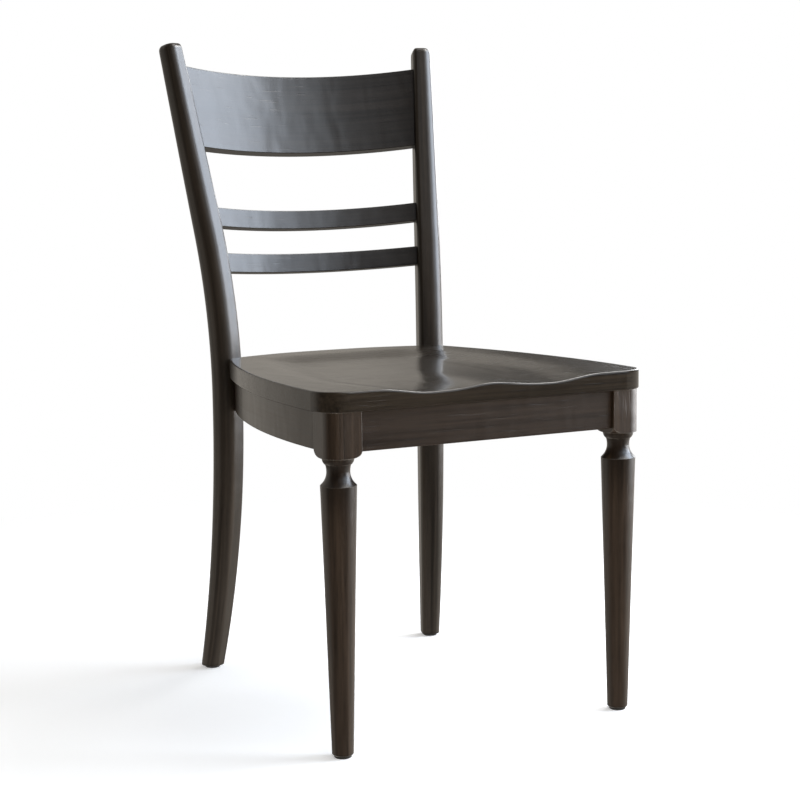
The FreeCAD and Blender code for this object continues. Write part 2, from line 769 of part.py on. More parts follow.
def make_glide(label, x, y):
    """Make a nylon glide: a flat foot with a peg that is pushed into the leg."""
    body = new_body(f"{label}_body")
    place(body, x, y)
    profile = new_sketch(body, f"{label}_profile", "XZ_Plane")
    rim = "glide_diameter / 2"
    peg = "glide_peg_diameter / 2"
    corners = [
        ("0", "0"),
        (f"{rim} - glide_edge_ease", "0"),
        (rim, "glide_edge_ease"),
        (rim, "glide_height"),
        (peg, "glide_height"),
        (peg, "glide_height + glide_peg_length"),
        ("0", "glide_height + glide_peg_length"),
    ]
    draw(profile, corners)
    turn(body, profile)
    return body


nodes = []
tenons = {}
fittings = {}


def keep(thing, label=None):
    """Hand in a finished piece, under its label."""
    if label:
        thing.Label = label
    nodes.append(thing)
    return thing


def hole_for(owner, hole):
    """Remember a hole to be cut in a piece."""
    fittings.setdefault(owner, []).append(hole)


def make_tenon(name, start, way, way_formulas, depth, spare="0"):
    """Make a tenon that leaves an apron's end at start along way; with spare, the mortise for it."""
    box = doc.addObject("Part::Box", name)
    box.Placement = FreeCAD.Placement(Vector(), FreeCAD.Rotation(Vector(1, 0, 0), way))
    sizes = {
        "Length": f"stock_allowance + {depth} + {spare}",
        "Width": f"tenon_thickness + 2 * {spare}",
        "Height": f"tenon_height + 2 * {spare}",
    }
    bind(box, sizes)
    across = (f"-({way_formulas[1]})", way_formulas[0], "0")
    corner = along((start[0], start[1], f"{TENON_BOTTOM} - {spare}"), way_formulas, "-stock_allowance")
    place(box, *along(corner, across, f"-(tenon_thickness / 2 + {spare})"))
    return box


def add_tenon(apron, owner, end, start, way, way_formulas, depth):
    """Give an apron a tenon and its owner, a leg or a post, the mortise for it."""
    tenons.setdefault(apron, []).append(make_tenon(f"{apron}_{end}_tenon", start, way, way_formulas, depth))
    mortise = make_tenon(f"{apron}_{end}_mortise", start, way, way_formulas, depth, "tenon_clearance")
    hole_for(owner, mortise)


def add_screw(name, brace, owner, length, depth, face, way, way_formulas):
    """Add a screw through a brace into its neighbour, with pocket, shank hole and pilot hole."""
    head = along(face, way_formulas, f"-({length} - {depth})")
    screw = make_screw(name, length, head, way)
    under = along(head, way_formulas, "-3 * brace_height")
    pocket_bore = "screw_head_diameter + 4 * screw_clearance"
    bore = "screw_diameter + 2 * screw_clearance"
    hole_for(brace, cylinder(f"{name}_pocket", pocket_bore, "3 * brace_height", under, way))
    hole_for(brace, cylinder(f"{name}_shank_hole", bore, length, head, way))
    hole_for(owner, cylinder(f"{name}_pilot", bore, f"{length} + screw_clearance", head, way))
    return screw


# Glides first, because each foot is drilled for its peg.
POST_FOOT = (
    f"({POST_X} + sin(post_turn) * post_foot_setback)",
    "(post_line + cos(post_turn) * post_foot_setback)",
)
feet = {"front": ("front_leg", (LEG_X, "leg_line")), "rear": ("rear_post", POST_FOOT)}
for where, (piece, (x, y)) in feet.items():
    pair = []
    for name, side in SIDES:
        pair.append(make_glide(f"{name}_{where}_glide", f"{side} * {x}", y))
        bore = "glide_peg_diameter + 2 * glide_clearance"
        depth = "glide_peg_length + glide_clearance + stock_allowance"
        below = (f"{side} * {x}", y, "glide_height - stock_allowance")
        hole_for(f"{name}_{piece}", cylinder(f"{name}_{where}_peg_hole", bore, depth, below, UP))
    keep(group(f"{where}_glides", pair))

# Aprons and their tenons.
front_end = f"({LEG_X} - {BLOCK_HALF})"
front_corners = [
    (f"-{front_end}", FRONT_FACE),
    (front_end, FRONT_FACE),
    (front_end, FRONT_INNER),
    (f"-{front_end}", FRONT_INNER),
]


def rear_end(y):
    """Return the formula for the rear apron's end at a given y, on the post's inner face."""
    return f"({POST_INNER[0]} + (({y}) - {POST_INNER[1]}) * tan(post_turn))"


rear_corners = [
    (f"-{rear_end(REAR_FRONT)}", REAR_FRONT),
    (rear_end(REAR_FRONT), REAR_FRONT),
    (rear_end(REAR_BACK), REAR_BACK),
    (f"-{rear_end(REAR_BACK)}", REAR_BACK),
]
blanks = {
    label: make_board(label, corners, None, "apron_height", APRON_BOTTOM, "apron_edge_ease")
    for label, corners in (("front_apron", front_corners), ("rear_apron", rear_corners))
}


def make_side_apron(name, side):
    """Make a side apron, bent like the seat's edge and cut to the post's front face."""
    body = new_body(f"{name}_side_apron_board")
    plan = new_sketch(body, f"{name}_side_apron_plan", "XY_Plane", APRON_BOTTOM)
    inner_start_x = arc_reach(SIDE_CENTRE, SIDE_INNER_RADIUS, SIDE_START[1])
    start = Vector(value(f"{side} * {SIDE_START[0]}"), value(SIDE_START[1]), 0)
    finish = Vector(value(f"{side} * {SIDE_FINISH[0]}"), value(SIDE_FINISH[1]), 0)
    inner_start = Vector(value(f"{side} * {inner_start_x}"), start.y, 0)
    face = Vector(-side * value("cos(post_turn)"), value("sin(post_turn)"), 0)
    slant = value("2 * side_tenon_inset")
    inner_finish = finish + face * slant
    outer_arc = arc_between(start, finish, value("side_apron_radius"), side)
    inner_arc = arc_between(inner_start, inner_finish, value(SIDE_INNER_RADIUS), side)
    edges = [
        outer_arc,
        Part.LineSegment(finish, inner_finish),
        inner_arc,
        Part.LineSegment(inner_start, start),
    ]
    plan.addGeometry(edges, False)
    plan.addGeometry(Part.LineSegment(finish, finish + face * (3 * slant)), True)
    begin, end = (1, 2) if side > 0 else (2, 1)
    for join in ((0, end, 1, 1), (1, 2, 2, end), (2, begin, 3, 1), (3, 2, 0, begin), (4, 1, 1, 1)):
        plan.addConstraint(Sketcher.Constraint("Coincident", *join))
    plan.addConstraint(Sketcher.Constraint("Coincident", 0, 3, 2, 3))
    pin(plan, 3, 2, mirrored(side, SIDE_START))
    pin(plan, 1, 1, mirrored(side, SIDE_FINISH))
    limit(plan, SIDE_START[1], "DistanceY", 3, 1)
    limit(plan, "side_apron_radius", "Radius", 0)
    limit(plan, SIDE_INNER_RADIUS, "Radius", 2)
    far = (
        f"{SIDE_FINISH[0]} - cos(post_turn) * 4 * apron_thickness",
        f"{SIDE_FINISH[1]} + sin(post_turn) * 4 * apron_thickness",
    )
    pin(plan, 4, 2, mirrored(side, far))
    plan.addConstraint(Sketcher.Constraint("PointOnObject", 1, 2, 4))
    board = pad(body, plan, "apron_height")
    ease_bottom(body, board, "apron_edge_ease", value(APRON_BOTTOM))
    return body


FRONT_MIDDLE = f"({FRONT_FACE} + apron_thickness / 2)"
SIDE_MIDDLE_X = f"({SIDE_START[0]} - apron_thickness / 2)"
SIDE_END_MIDDLE = (
    f"({SIDE_FINISH[0]} - cos(post_turn) * side_tenon_inset)",
    f"({SIDE_FINISH[1]} + sin(post_turn) * side_tenon_inset)",
)
for name, side in SIDES:
    apron = f"{name}_side_apron"
    leg = f"{name}_front_leg"
    post = f"{name}_rear_post"
    blanks[apron] = make_side_apron(name, side)
    sine = value("sin(post_turn)")
    cosine = value("cos(post_turn)")
    start = (f"{side} * {front_end}", FRONT_MIDDLE)
    outward = (f"{side}", "0", "0")
    add_tenon("front_apron", leg, name, start, Vector(side, 0, 0), outward, "leg_tenon_depth")
    start = (f"{side} * {SIDE_MIDDLE_X}", SIDE_START[1])
    forward = ("0", "-1", "0")
    add_tenon(apron, leg, "front", start, Vector(0, -1, 0), forward, "leg_tenon_depth")
    start = (f"{side} * {SIDE_END_MIDDLE[0]}", SIDE_END_MIDDLE[1])
    into_post = (f"{side} * sin(post_turn)", "cos(post_turn)", "0")
    add_tenon(apron, post, "rear", start, Vector(side * sine, cosine, 0), into_post, "post_tenon_depth")
    start = (f"{side} * {POST_INNER[0]}", POST_INNER[1])
    across = (f"{side} * cos(post_turn)", "-sin(post_turn)", "0")
    add_tenon("rear_apron", post, name, start, Vector(side * cosine, -sine, 0), across, "post_tenon_depth")
for label, pieces in tenons.items():
    joined = doc.addObject("Part::MultiFuse", f"{label}_with_tenons")
    joined.Shapes = [blanks[label], *pieces]
    blanks[label] = joined

# Corner braces, screwed to the aprons and to the seat.
apron_screws = []
seat_screws = []
for name, side in SIDES:
    near = f"({LEG_X} - {BLOCK_HALF} - brace_leg_gap)"
    start_y = f"({SIDE_START[1]} + brace_leg_gap)"
    finish_y = f"({start_y} + brace_foot)"
    front_brace = [
        (f"({near} - brace_foot)", FRONT_INNER),
        (near, FRONT_INNER),
        (arc_reach(SIDE_CENTRE, SIDE_INNER_RADIUS, start_y), start_y),
        (arc_reach(SIDE_CENTRE, SIDE_INNER_RADIUS, finish_y), finish_y),
    ]
    rear_x = f"({POST_X} - brace_post_gap)"
    late_y = "(post_line - brace_rear_reach)"
    early_y = f"({late_y} - brace_foot)"
    rear_brace = [
        (arc_reach(SIDE_CENTRE, SIDE_INNER_RADIUS, early_y), early_y),
        (arc_reach(SIDE_CENTRE, SIDE_INNER_RADIUS, late_y), late_y),
        (rear_x, REAR_FRONT),
        (f"({rear_x} - brace_foot)", REAR_FRONT),
    ]
    middle_z = f"({BRACE_BOTTOM} + brace_height / 2)"
    side_way = (f"{side}", "0", "0")
    plans = {
        "front": (front_brace, "front_apron", Vector(0, -1, 0), ("0", "-1", "0"), FRONT_INNER, near),
        "rear": (rear_brace, "rear_apron", Vector(0, 1, 0), ("0", "1", "0"), REAR_FRONT, rear_x),
    }
    for where, (corners, apron, way, way_formulas, face_y, reach_x) in plans.items():
        brace = f"{where}_{name}_brace"
        blanks[brace] = make_brace(brace, side, corners)
        face = (f"{side} * ({reach_x} - brace_foot / 2)", face_y, middle_z)
        bite = "screw_length / 2"
        screw = add_screw(f"{brace}_screw_a", brace, apron, "screw_length", bite, face, way, way_formulas)
        apron_screws.append(screw)
        side_y = f"({start_y} + brace_foot / 2)" if where == "front" else f"({late_y} - brace_foot / 2)"
        side_x = arc_reach(SIDE_CENTRE, SIDE_INNER_RADIUS, side_y)
        face = (f"{side} * {side_x}", side_y, middle_z)
        owner = f"{name}_side_apron"
        way = Vector(side, 0, 0)
        screw = add_screw(f"{brace}_screw_b", brace, owner, "screw_length", bite, face, way, side_way)
        apron_screws.append(screw)
        middle_x = " + ".join(f"{x} / 4" for x, y in corners)
        middle_y = " + ".join(f"{y} / 4" for x, y in corners)
        face = (f"{side} * ({middle_x})", f"({middle_y})", APRON_TOP)
        bite = "screw_seat_depth"
        upward = ("0", "0", "1")
        screw = add_screw(f"{brace}_seat_screw", brace, "seat", "screw_length", bite, face, UP, upward)
        seat_screws.append(screw)
keep(group("brace_screws", apron_screws))
keep(group("seat_screws", seat_screws))

# Back rails, housed at full section in the posts.
rails = {
    "crest_panel": ("crest_station", "crest_height", "crest_thickness", "crest_length"),
    "upper_slat": ("upper_slat_station", "slat_height", "slat_thickness", "upper_slat_length"),
    "lower_slat": ("lower_slat_station", "slat_height", "slat_thickness", "lower_slat_length"),
}
mortises = []
for label, sizes in rails.items():
    keep(make_rail(label, *sizes), label)
    mortises.append(make_rail(f"{label}_mortise", *sizes, clearance="mortise_clearance"))

for name, side in SIDES:
    blanks[f"{name}_front_leg"] = make_front_leg(name, side)
    blanks[f"{name}_rear_post"] = make_post(name, side)
    fittings[f"{name}_rear_post"] += mortises
    hole_for("seat", make_notch_tool(name, side))
blanks["seat"] = make_seat()
for label, blank in blanks.items():
    keep(cut(label, blank, fittings[label]))

doc.recompute()
failed = [thing.Name for thing in doc.Objects if {"Invalid", "Error"} & set(thing.State)]
if failed:
    raise RuntimeError(f"failed objects: {failed}")
for thing in nodes:
    if thing.Shape.isNull() or not thing.Shape.isValid():
        raise RuntimeError(f"{thing.Label} is not a valid shape")
os.makedirs("parts", exist_ok=True)
for thing in nodes:
    thing.Shape.exportStep(f"parts/{thing.Label}.step")
    print(thing.Label, len(thing.Shape.Solids), "solid(s)", round(thing.Shape.Volume), "mm3")
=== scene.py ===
import logging
import math
from collections.abc import Callable
from dataclasses import dataclass, replace
from enum import Enum

import bmesh
import bpy
from mathutils import Matrix, Vector


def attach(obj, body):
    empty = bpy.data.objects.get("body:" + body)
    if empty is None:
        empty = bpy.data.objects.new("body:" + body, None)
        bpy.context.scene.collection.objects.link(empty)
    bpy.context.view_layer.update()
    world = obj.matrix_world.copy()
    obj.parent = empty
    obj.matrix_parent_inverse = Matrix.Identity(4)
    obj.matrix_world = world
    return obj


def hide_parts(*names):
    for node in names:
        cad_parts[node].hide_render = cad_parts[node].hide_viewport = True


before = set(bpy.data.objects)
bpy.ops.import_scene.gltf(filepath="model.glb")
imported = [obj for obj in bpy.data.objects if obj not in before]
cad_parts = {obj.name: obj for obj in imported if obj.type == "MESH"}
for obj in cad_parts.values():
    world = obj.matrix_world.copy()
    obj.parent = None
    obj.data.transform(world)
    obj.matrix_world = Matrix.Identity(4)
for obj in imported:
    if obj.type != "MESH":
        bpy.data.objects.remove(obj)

Pair = tuple[float, float]
Triple = tuple[float, float, float]
Tint = tuple[float, float, float, float]
Socket = bpy.types.NodeSocket
EdgeTest = Callable[[bmesh.types.BMEdge], bool]
Bend = Callable[[Vector], Vector]

log = logging.getLogger("side_chair")
MM = 0.001
WHITE = (1.0, 1.0, 1.0, 1.0)
STRAIGHT = "straight_timber"


class NodeBoard:
    """Small helper that adds and wires the nodes of one material or world."""

    def __init__(self, tree: bpy.types.NodeTree) -> None:
        """Start from an empty node tree."""
        self.tree = tree
        tree.nodes.clear()

    def add(self, kind: str, **settings: object) -> bpy.types.Node:
        """Add a node and set its properties and input values.

        Args:
            kind: Blender's name of the node type.
            settings: Property values, or input values under the input's name with underscores.

        Returns:
            The new node.
        """
        node = self.tree.nodes.new(kind)
        for name, setting in settings.items():
            if hasattr(node, name):
                setattr(node, name, setting)
            else:
                node.inputs[name.replace("_", " ")].default_value = setting
        return node

    def wire(self, source: Socket, target: Socket) -> None:
        """Join an output to an input."""
        self.tree.links.new(source, target)

    def span(self, source: Socket, given: Pair, wanted: Pair = (0.0, 1.0), soft: bool = False) -> Socket:
        """Map one range of numbers to another and hold the ends.

        Args:
            source: The socket with the numbers.
            given: The range they have.
            wanted: The range they get.
            soft: Whether the change eases in and out.

        Returns:
            The socket with the mapped numbers.
        """
        node = self.add("ShaderNodeMapRange", interpolation_type="SMOOTHSTEP" if soft else "LINEAR")
        node.inputs["From Min"].default_value = given[0]
        node.inputs["From Max"].default_value = given[1]
        node.inputs["To Min"].default_value = wanted[0]
        node.inputs["To Max"].default_value = wanted[1]
        self.wire(source, node.inputs["Value"])
        return node.outputs["Result"]

    def fold(self, operation: str, numbers: list[Socket]) -> Socket:
        """Join several numbers by one operation, two at a time.

        Args:
            operation: Blender's name of the operation.
            numbers: The sockets with the numbers.

        Returns:
            The socket with the result.
        """
        result = numbers[0]
        for number in numbers[1:]:
            node = self.add("ShaderNodeMath", operation=operation)
            self.wire(result, node.inputs[0])
            self.wire(number, node.inputs[1])
            result = node.outputs["Value"]
        return result

    def show(self, shader: Socket, output: str = "ShaderNodeOutputMaterial") -> None:
        """Wire the finished shader to the output."""
        self.wire(shader, self.add(output).inputs["Surface"])


def fresh_material(name: str) -> tuple[bpy.types.Material, NodeBoard]:
    """Start a node material.

    Args:
        name: The finish's name.

    Returns:
        The material and its empty board.
    """
    material = bpy.data.materials.new(name)
    material.use_nodes = True
    return material, NodeBoard(material.node_tree)


def add_object(name: str, data: bpy.types.ID) -> bpy.types.Object:
    """Add an object to the scene.

    Args:
        name: Its name.
        data: Its mesh, lamp or camera.

    Returns:
        The object.
    """
    added = bpy.data.objects.new(name, data)
    bpy.context.scene.collection.objects.link(added)
    return added


def paint(nodes: tuple[str, ...], material: bpy.types.Material) -> list[str]:
    """Give frame nodes their finish.

    Args:
        nodes: Names of the nodes.
        material: The finish.

    Returns:
        The names of the nodes.
    """
    for node in nodes:
        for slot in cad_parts[node].material_slots:
            slot.material = material
    return list(nodes)


class Grain(Enum):
    """Direction in which the fibres of a piece run."""

    ACROSS = "x"
    ALONG = "y"
    UPRIGHT = "z"

    def stretch(self, along: float, across: float) -> Triple:
        """Return a scale for the three axes, coarse along the fibres and fine across them."""
        return tuple(along if axis == self.value else across for axis in "xyz")


@dataclass(frozen=True)
class Figure:
    """Scale of one pattern in the wood: repeats per metre along and across the fibres, and octaves."""

    along: float
    across: float
    octaves: float


FINE_STREAKS = Figure(3.0, 280.0, 5.0)
BROAD_TONE = Figure(1.6, 24.0, 3.0)
PORES = Figure(26.0, 620.0, 2.0)
SWAY_MARKS = Figure(30.0, 15.0, 1.2)
FLECKS = Figure(20.0, 380.0, 1.0)
# Patches where the painted highlight along the arrises is stronger
ARRIS_HIGHLIGHT_PATCHES = Figure(24.0, 40.0, 2.0)
NOISE_ROUGHNESS = 0.6
NOISE_WANDER = 0.25
NOISE_BAND = (0.3, 0.7)
BASE_GLEAM = 0.2
STREAK_SHARE = 0.62
TONE_BAND = (0.33, 0.68)
PORE_BAND = (0.28, 0.46)
PORE_SHADE = (0.62, 1.0)
FLECK_BAND = (0.66, 0.72)
FLECK_HEIGHT = (1.0, 0.0)
SWAY_STRENGTH = 0.5
# Samples, bands and share of the painted highlight along the arrises
ARRIS_SAMPLES = 6
ARRIS_BAND = (0.98, 0.76)
ARRIS_HIGHLIGHT_BAND = (0.35, 0.62)
ARRIS_HIGHLIGHT_SHARE = (0.25, 1.0)
# Tint of the painted shade over a band of heights
PAINTED_SHADE_TINT = (0.42, 0.40, 0.38, 1.0)

# Depths of the relief, and margins of the band of painted shade, in metres
NICK_DEPTH = 0.0004
GRAIN_DEPTH = 0.0002
PAINTED_SHADE_BELOW = (-0.07, 0.01)
PAINTED_SHADE_ABOVE = (0.006, -0.004)


@dataclass(frozen=True)
class Wood:
    """Hardwood with drawn-out grain and pores, stained and lacquered or left bare."""

    name: str
    grain: Grain
    shift: Triple = (0.0, 0.0, 0.0)
    deep: Tint = (0.007, 0.0040, 0.0022, 1.0)
    warm: Tint = (0.0335, 0.0215, 0.0135, 1.0)
    roughness: Pair = (0.34, 0.52)
    streaks: Figure = FINE_STREAKS
    lacquer: float = 1.0
    polish: float = 0.28
    relief: float = 0.05
    nicks: float = 0.25
    sway: float = 0.0016
    # Heights of a band darkened with painted shade; none when the second is not above the first
    shade_heights: Pair = (0.0, 0.0)
    bent: bool = False
    # Radius and tone of a painted highlight along the arrises; none at 0
    arris_highlight_radius: float = 0.0
    arris_highlight_tone: Tint = (0.30, 0.275, 0.235, 1.0)

    def material(self) -> bpy.types.Material:
        """Mix the finish.

        Returns:
            The finish as a node material.
        """
        material, board = fresh_material(self.name)
        place = board.add("ShaderNodeTexCoord").outputs["Object"]
        if self.bent:
            place = board.add("ShaderNodeAttribute", attribute_name=STRAIGHT).outputs["Vector"]
        streak = self.pattern(board, place, self.streaks)
        gloss = board.span(streak, NOISE_BAND, self.roughness)
        normal = self.surface(board, place, streak)
        shader = board.add("ShaderNodeBsdfPrincipled")
        shader.inputs["Specular IOR Level"].default_value = BASE_GLEAM
        shader.inputs["Coat Weight"].default_value = self.lacquer
        shader.inputs["Coat Roughness"].default_value = self.polish
        colour = self.painted_shade_band(board, place, self.colour(board, place, streak))
        board.wire(self.painted_arris_highlight(board, place, colour), shader.inputs["Base Color"])
        board.wire(gloss, shader.inputs["Roughness"])
        board.wire(normal, shader.inputs["Normal"])
        board.wire(normal, shader.inputs["Coat Normal"])
        board.show(shader.outputs["BSDF"])
        return material

    def colour(self, board: NodeBoard, place: Socket, streak: Socket) -> Socket:
        """Blend the deep and the warm tone along the grain and darken the pores.

        Args:
            board: The material's nodes.
            place: Where in the timber a point is.
            streak: The pattern of fine streaks.

        Returns:
            The socket with the colour.
        """
        broad = self.pattern(board, place, BROAD_TONE)
        blend = board.add("ShaderNodeMix", data_type="FLOAT")
        blend.inputs["Factor"].default_value = STREAK_SHARE
        board.wire(broad, blend.inputs["A"])
        board.wire(streak, blend.inputs["B"])
        ramp = board.add("ShaderNodeValToRGB")
        for end, position, tint in zip(ramp.color_ramp.elements, TONE_BAND, (self.deep, self.warm)):
            end.position = position
            end.color = tint
        board.wire(blend.outputs["Result"], ramp.inputs["Fac"])
        pore = self.pattern(board, place, PORES)
        pored = board.add("ShaderNodeMix", data_type="RGBA", blend_type="MULTIPLY")
        pored.inputs["Factor"].default_value = 1.0
        board.wire(ramp.outputs["Color"], pored.inputs["A"])
        board.wire(board.span(pore, PORE_BAND, PORE_SHADE), pored.inputs["B"])
        return pored.outputs["Result"]

    def surface(self, board: NodeBoard, place: Socket, streak: Socket) -> Socket:
        """Raise the grain a little, sink a few nicks and let the polish sway.

        Args:
            board: The material's nodes.
            place: Where in the timber a point is.
            streak: The pattern of fine streaks.

        Returns:
            The socket with the bumped normal.
        """
        sway = self.pattern(board, place, SWAY_MARKS)
        waves = board.add("ShaderNodeBump", Strength=SWAY_STRENGTH, Distance=self.sway)
        board.wire(sway, waves.inputs["Height"])
        fleck = self.pattern(board, place, FLECKS)
        nicks = board.add("ShaderNodeBump", Strength=self.nicks, Distance=NICK_DEPTH)
        board.wire(board.span(fleck, FLECK_BAND, FLECK_HEIGHT), nicks.inputs["Height"])
        board.wire(waves.outputs["Normal"], nicks.inputs["Normal"])
        grain = board.add("ShaderNodeBump", Strength=self.relief, Distance=GRAIN_DEPTH)
        board.wire(streak, grain.inputs["Height"])
        board.wire(nicks.outputs["Normal"], grain.inputs["Normal"])
        return grain.outputs["Normal"]

    def painted_shade_band(self, board: NodeBoard, place: Socket, colour: Socket) -> Socket:
        """Darken the colour in a band of heights: painted shade, where the leg's neck lies in shade under
        the block and the seat.

        Args:
            board: The material's nodes.
            place: Where in the timber a point is.
            colour: The wood's colour.

        Returns:
            The socket with the darkened colour.
        """
        low, high = self.shade_heights
        if high <= low:
            return colour
        split = board.add("ShaderNodeSeparateXYZ")
        board.wire(place, split.inputs["Vector"])
        rise = board.span(split.outputs["Z"], tuple(low + margin for margin in PAINTED_SHADE_BELOW), soft=True)
        fall = board.span(split.outputs["Z"], tuple(high + margin for margin in PAINTED_SHADE_ABOVE), soft=True)
        darker = board.add("ShaderNodeMix", data_type="RGBA", blend_type="MULTIPLY")
        darker.inputs["B"].default_value = PAINTED_SHADE_TINT
        board.wire(board.fold("MULTIPLY", [rise, fall]), darker.inputs["Factor"])
        board.wire(colour, darker.inputs["A"])
        return darker.outputs["Result"]

    def painted_arris_highlight(self, board: NodeBoard, place: Socket, colour: Socket) -> Socket:
        """Paint a lighter tone along the sharp arrises, more in some places than in others: a painted
        highlight where the rounded edges would catch the light.

        Args:
            board: The material's nodes.
            place: Where in the timber a point is.
            colour: The wood's colour.

        Returns:
            The socket with the colour and its painted arris highlight.
        """
        if self.arris_highlight_radius == 0.0:
            return colour
        rounded = board.add("ShaderNodeBevel", samples=ARRIS_SAMPLES, Radius=self.arris_highlight_radius)
        flat = board.add("ShaderNodeNewGeometry")
        turned = board.add("ShaderNodeVectorMath", operation="DOT_PRODUCT")
        board.wire(rounded.outputs["Normal"], turned.inputs[0])
        board.wire(flat.outputs["Normal"], turned.inputs[1])
        arris = board.span(turned.outputs["Value"], ARRIS_BAND)
        patchy = board.span(self.pattern(board, place, ARRIS_HIGHLIGHT_PATCHES), ARRIS_HIGHLIGHT_BAND, ARRIS_HIGHLIGHT_SHARE)
        highlighted = board.add("ShaderNodeMix", data_type="RGBA")
        highlighted.inputs["B"].default_value = self.arris_highlight_tone
        board.wire(board.fold("MULTIPLY", [arris, patchy]), highlighted.inputs["Factor"])
        board.wire(colour, highlighted.inputs["A"])
        return highlighted.outputs["Result"]

    def pattern(self, board: NodeBoard, place: Socket, figure: Figure) -> Socket:
        """Add a noise that is drawn out along the fibres.

        Args:
            board: The material's nodes.
            place: Where in the timber a point is.
            figure: The pattern's scale.

        Returns:
            The socket with the noise.
        """
        spread = board.add("ShaderNodeMapping")
        spread.inputs["Location"].default_value = self.shift
        spread.inputs["Scale"].default_value = self.grain.stretch(figure.along, figure.across)
        board.wire(place, spread.inputs["Vector"])
        noise = board.add("ShaderNodeTexNoise", noise_dimensions="3D")
        noise.inputs["Scale"].default_value = 1.0
        noise.inputs["Detail"].default_value = figure.octaves
        noise.inputs["Roughness"].default_value = NOISE_ROUGHNESS
        noise.inputs["Distortion"].default_value = NOISE_WANDER
        board.wire(spread.outputs["Vector"], noise.inputs["Vector"])
        return noise.outputs["Fac"]


@dataclass(frozen=True)
class PlainFinish:
    """A finish of one colour with a little mottling, for hidden hardware."""

    name: str
    colour: Tint
    metal: float
    roughness: Pair
    mottle: float = 180.0
    mottle_octaves: float = 3.0
    mottle_shade: float = 0.7

    def material(self) -> bpy.types.Material:
        """Mix the finish.

        Returns:
            The finish as a node material.
        """
        material, board = fresh_material(self.name)
        place = board.add("ShaderNodeTexCoord").outputs["Object"]
        noise = board.add("ShaderNodeTexNoise", Scale=self.mottle, Detail=self.mottle_octaves)
        board.wire(place, noise.inputs["Vector"])
        ramp = board.add("ShaderNodeValToRGB")
        ramp.color_ramp.elements[0].color = (*(self.mottle_shade * part for part in self.colour[:3]), 1.0)
        ramp.color_ramp.elements[1].color = self.colour
        board.wire(noise.outputs["Fac"], ramp.inputs["Fac"])
        shader = board.add("ShaderNodeBsdfPrincipled", Metallic=self.metal)
        board.wire(ramp.outputs["Color"], shader.inputs["Base Color"])
        board.wire(board.span(noise.outputs["Fac"], NOISE_BAND, self.roughness), shader.inputs["Roughness"])
        board.show(shader.outputs["BSDF"])
        return material


# Tolerances and the gap between two cuts from one length of timber, in millimetres
SAME_SPOT = 1e-4
TOUCHING = 1e-3
NEAR_CORNER = 0.1
BILLET_GAP = 500.0

# Cosine from which an edge counts as running along an axis, and the angle from which it stays sharp
STRAIGHT_ENOUGH = 0.99
CREASE = math.radians(40)


@dataclass(frozen=True)
class Round:
    """A rounded arris: its radius in millimetres and the facets across it."""

    radius: float
    facets: int


class Bench:
    """Workbench for one new wooden piece: a mesh and the cuts made on it."""

    def __init__(self, name: str, billet: float = 0.0) -> None:
        """Start an empty piece.

        Args:
            name: The piece's name.
            billet: How far along in the timber it is cut, in millimetres.
        """
        self.name = name
        self.billet = billet
        self.bm = bmesh.new()

    def bar(self, low: Vector, high: Vector) -> None:
        """Saw a straight bar.

        Args:
            low: Its lowest corner, in millimetres.
            high: Its highest corner.
        """
        bmesh.ops.create_cube(self.bm, size=1.0)
        bmesh.ops.scale(self.bm, vec=high - low, verts=self.bm.verts)
        bmesh.ops.translate(self.bm, vec=(low + high) / 2, verts=self.bm.verts)

    def round_over(self, arris: Round, chosen: EdgeTest) -> None:
        """Round the chosen arrises.

        Args:
            arris: The round they get.
            chosen: Tells for an edge whether it is rounded.
        """
        edges = [edge for edge in self.bm.edges if chosen(edge)]
        bmesh.ops.bevel(
            self.bm,
            geom=edges,
            offset=arris.radius,
            offset_type="OFFSET",
            segments=arris.facets,
            profile=0.5,
            affect="EDGES",
            material=-1,
        )

    def slices(self, way: Vector, start: float, finish: float, count: int) -> None:
        """Cut the piece across a direction into short lengths that can follow a bend.

        Args:
            way: Direction of the length.
            start: Where the first length begins.
            finish: Where the last length ends.
            count: How many lengths.
        """
        for i in range(1, count):
            place = start + (finish - start) * i / count
            whole = self.bm.verts[:] + self.bm.edges[:] + self.bm.faces[:]
            bmesh.ops.bisect_plane(self.bm, geom=whole, dist=SAME_SPOT, plane_co=way * place, plane_no=way)

    def shape(self, move: Bend) -> None:
        """Move each point to its place in the bent shape, and keep where it was for the grain.

        Args:
            move: Gives a point's place in the bent shape.
        """
        straight = self.bm.verts.layers.float_vector.new(STRAIGHT)
        along = Vector((self.billet, self.billet, self.billet))
        for vert in self.bm.verts:
            vert[straight] = (vert.co + along) * MM
            vert.co = move(vert.co)

    def done(self, material: bpy.types.Material, node: str) -> str:
        """Finish the piece and put it in the chair in place of its frame node.

        Args:
            material: The piece's finish.
            node: The frame node it stands for.

        Returns:
            The piece's name.
        """
        bm = self.bm
        bmesh.ops.remove_doubles(bm, verts=bm.verts, dist=SAME_SPOT)
        bmesh.ops.recalc_face_normals(bm, faces=bm.faces)
        bmesh.ops.scale(bm, vec=Vector((MM, MM, MM)), verts=bm.verts)
        for face in bm.faces:
            face.smooth = True
        for edge in bm.edges:
            edge.smooth = len(edge.link_faces) == 2 and edge.calc_face_angle() < CREASE
        mesh = bpy.data.meshes.new(self.name)
        bm.to_mesh(mesh)
        bm.free()
        mesh.materials.append(material)
        piece = add_object(self.name, mesh)
        even = piece.modifiers.new("even_shading", "WEIGHTED_NORMAL")
        even.keep_sharp = True
        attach(piece, "root")
        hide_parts(node)
        return self.name


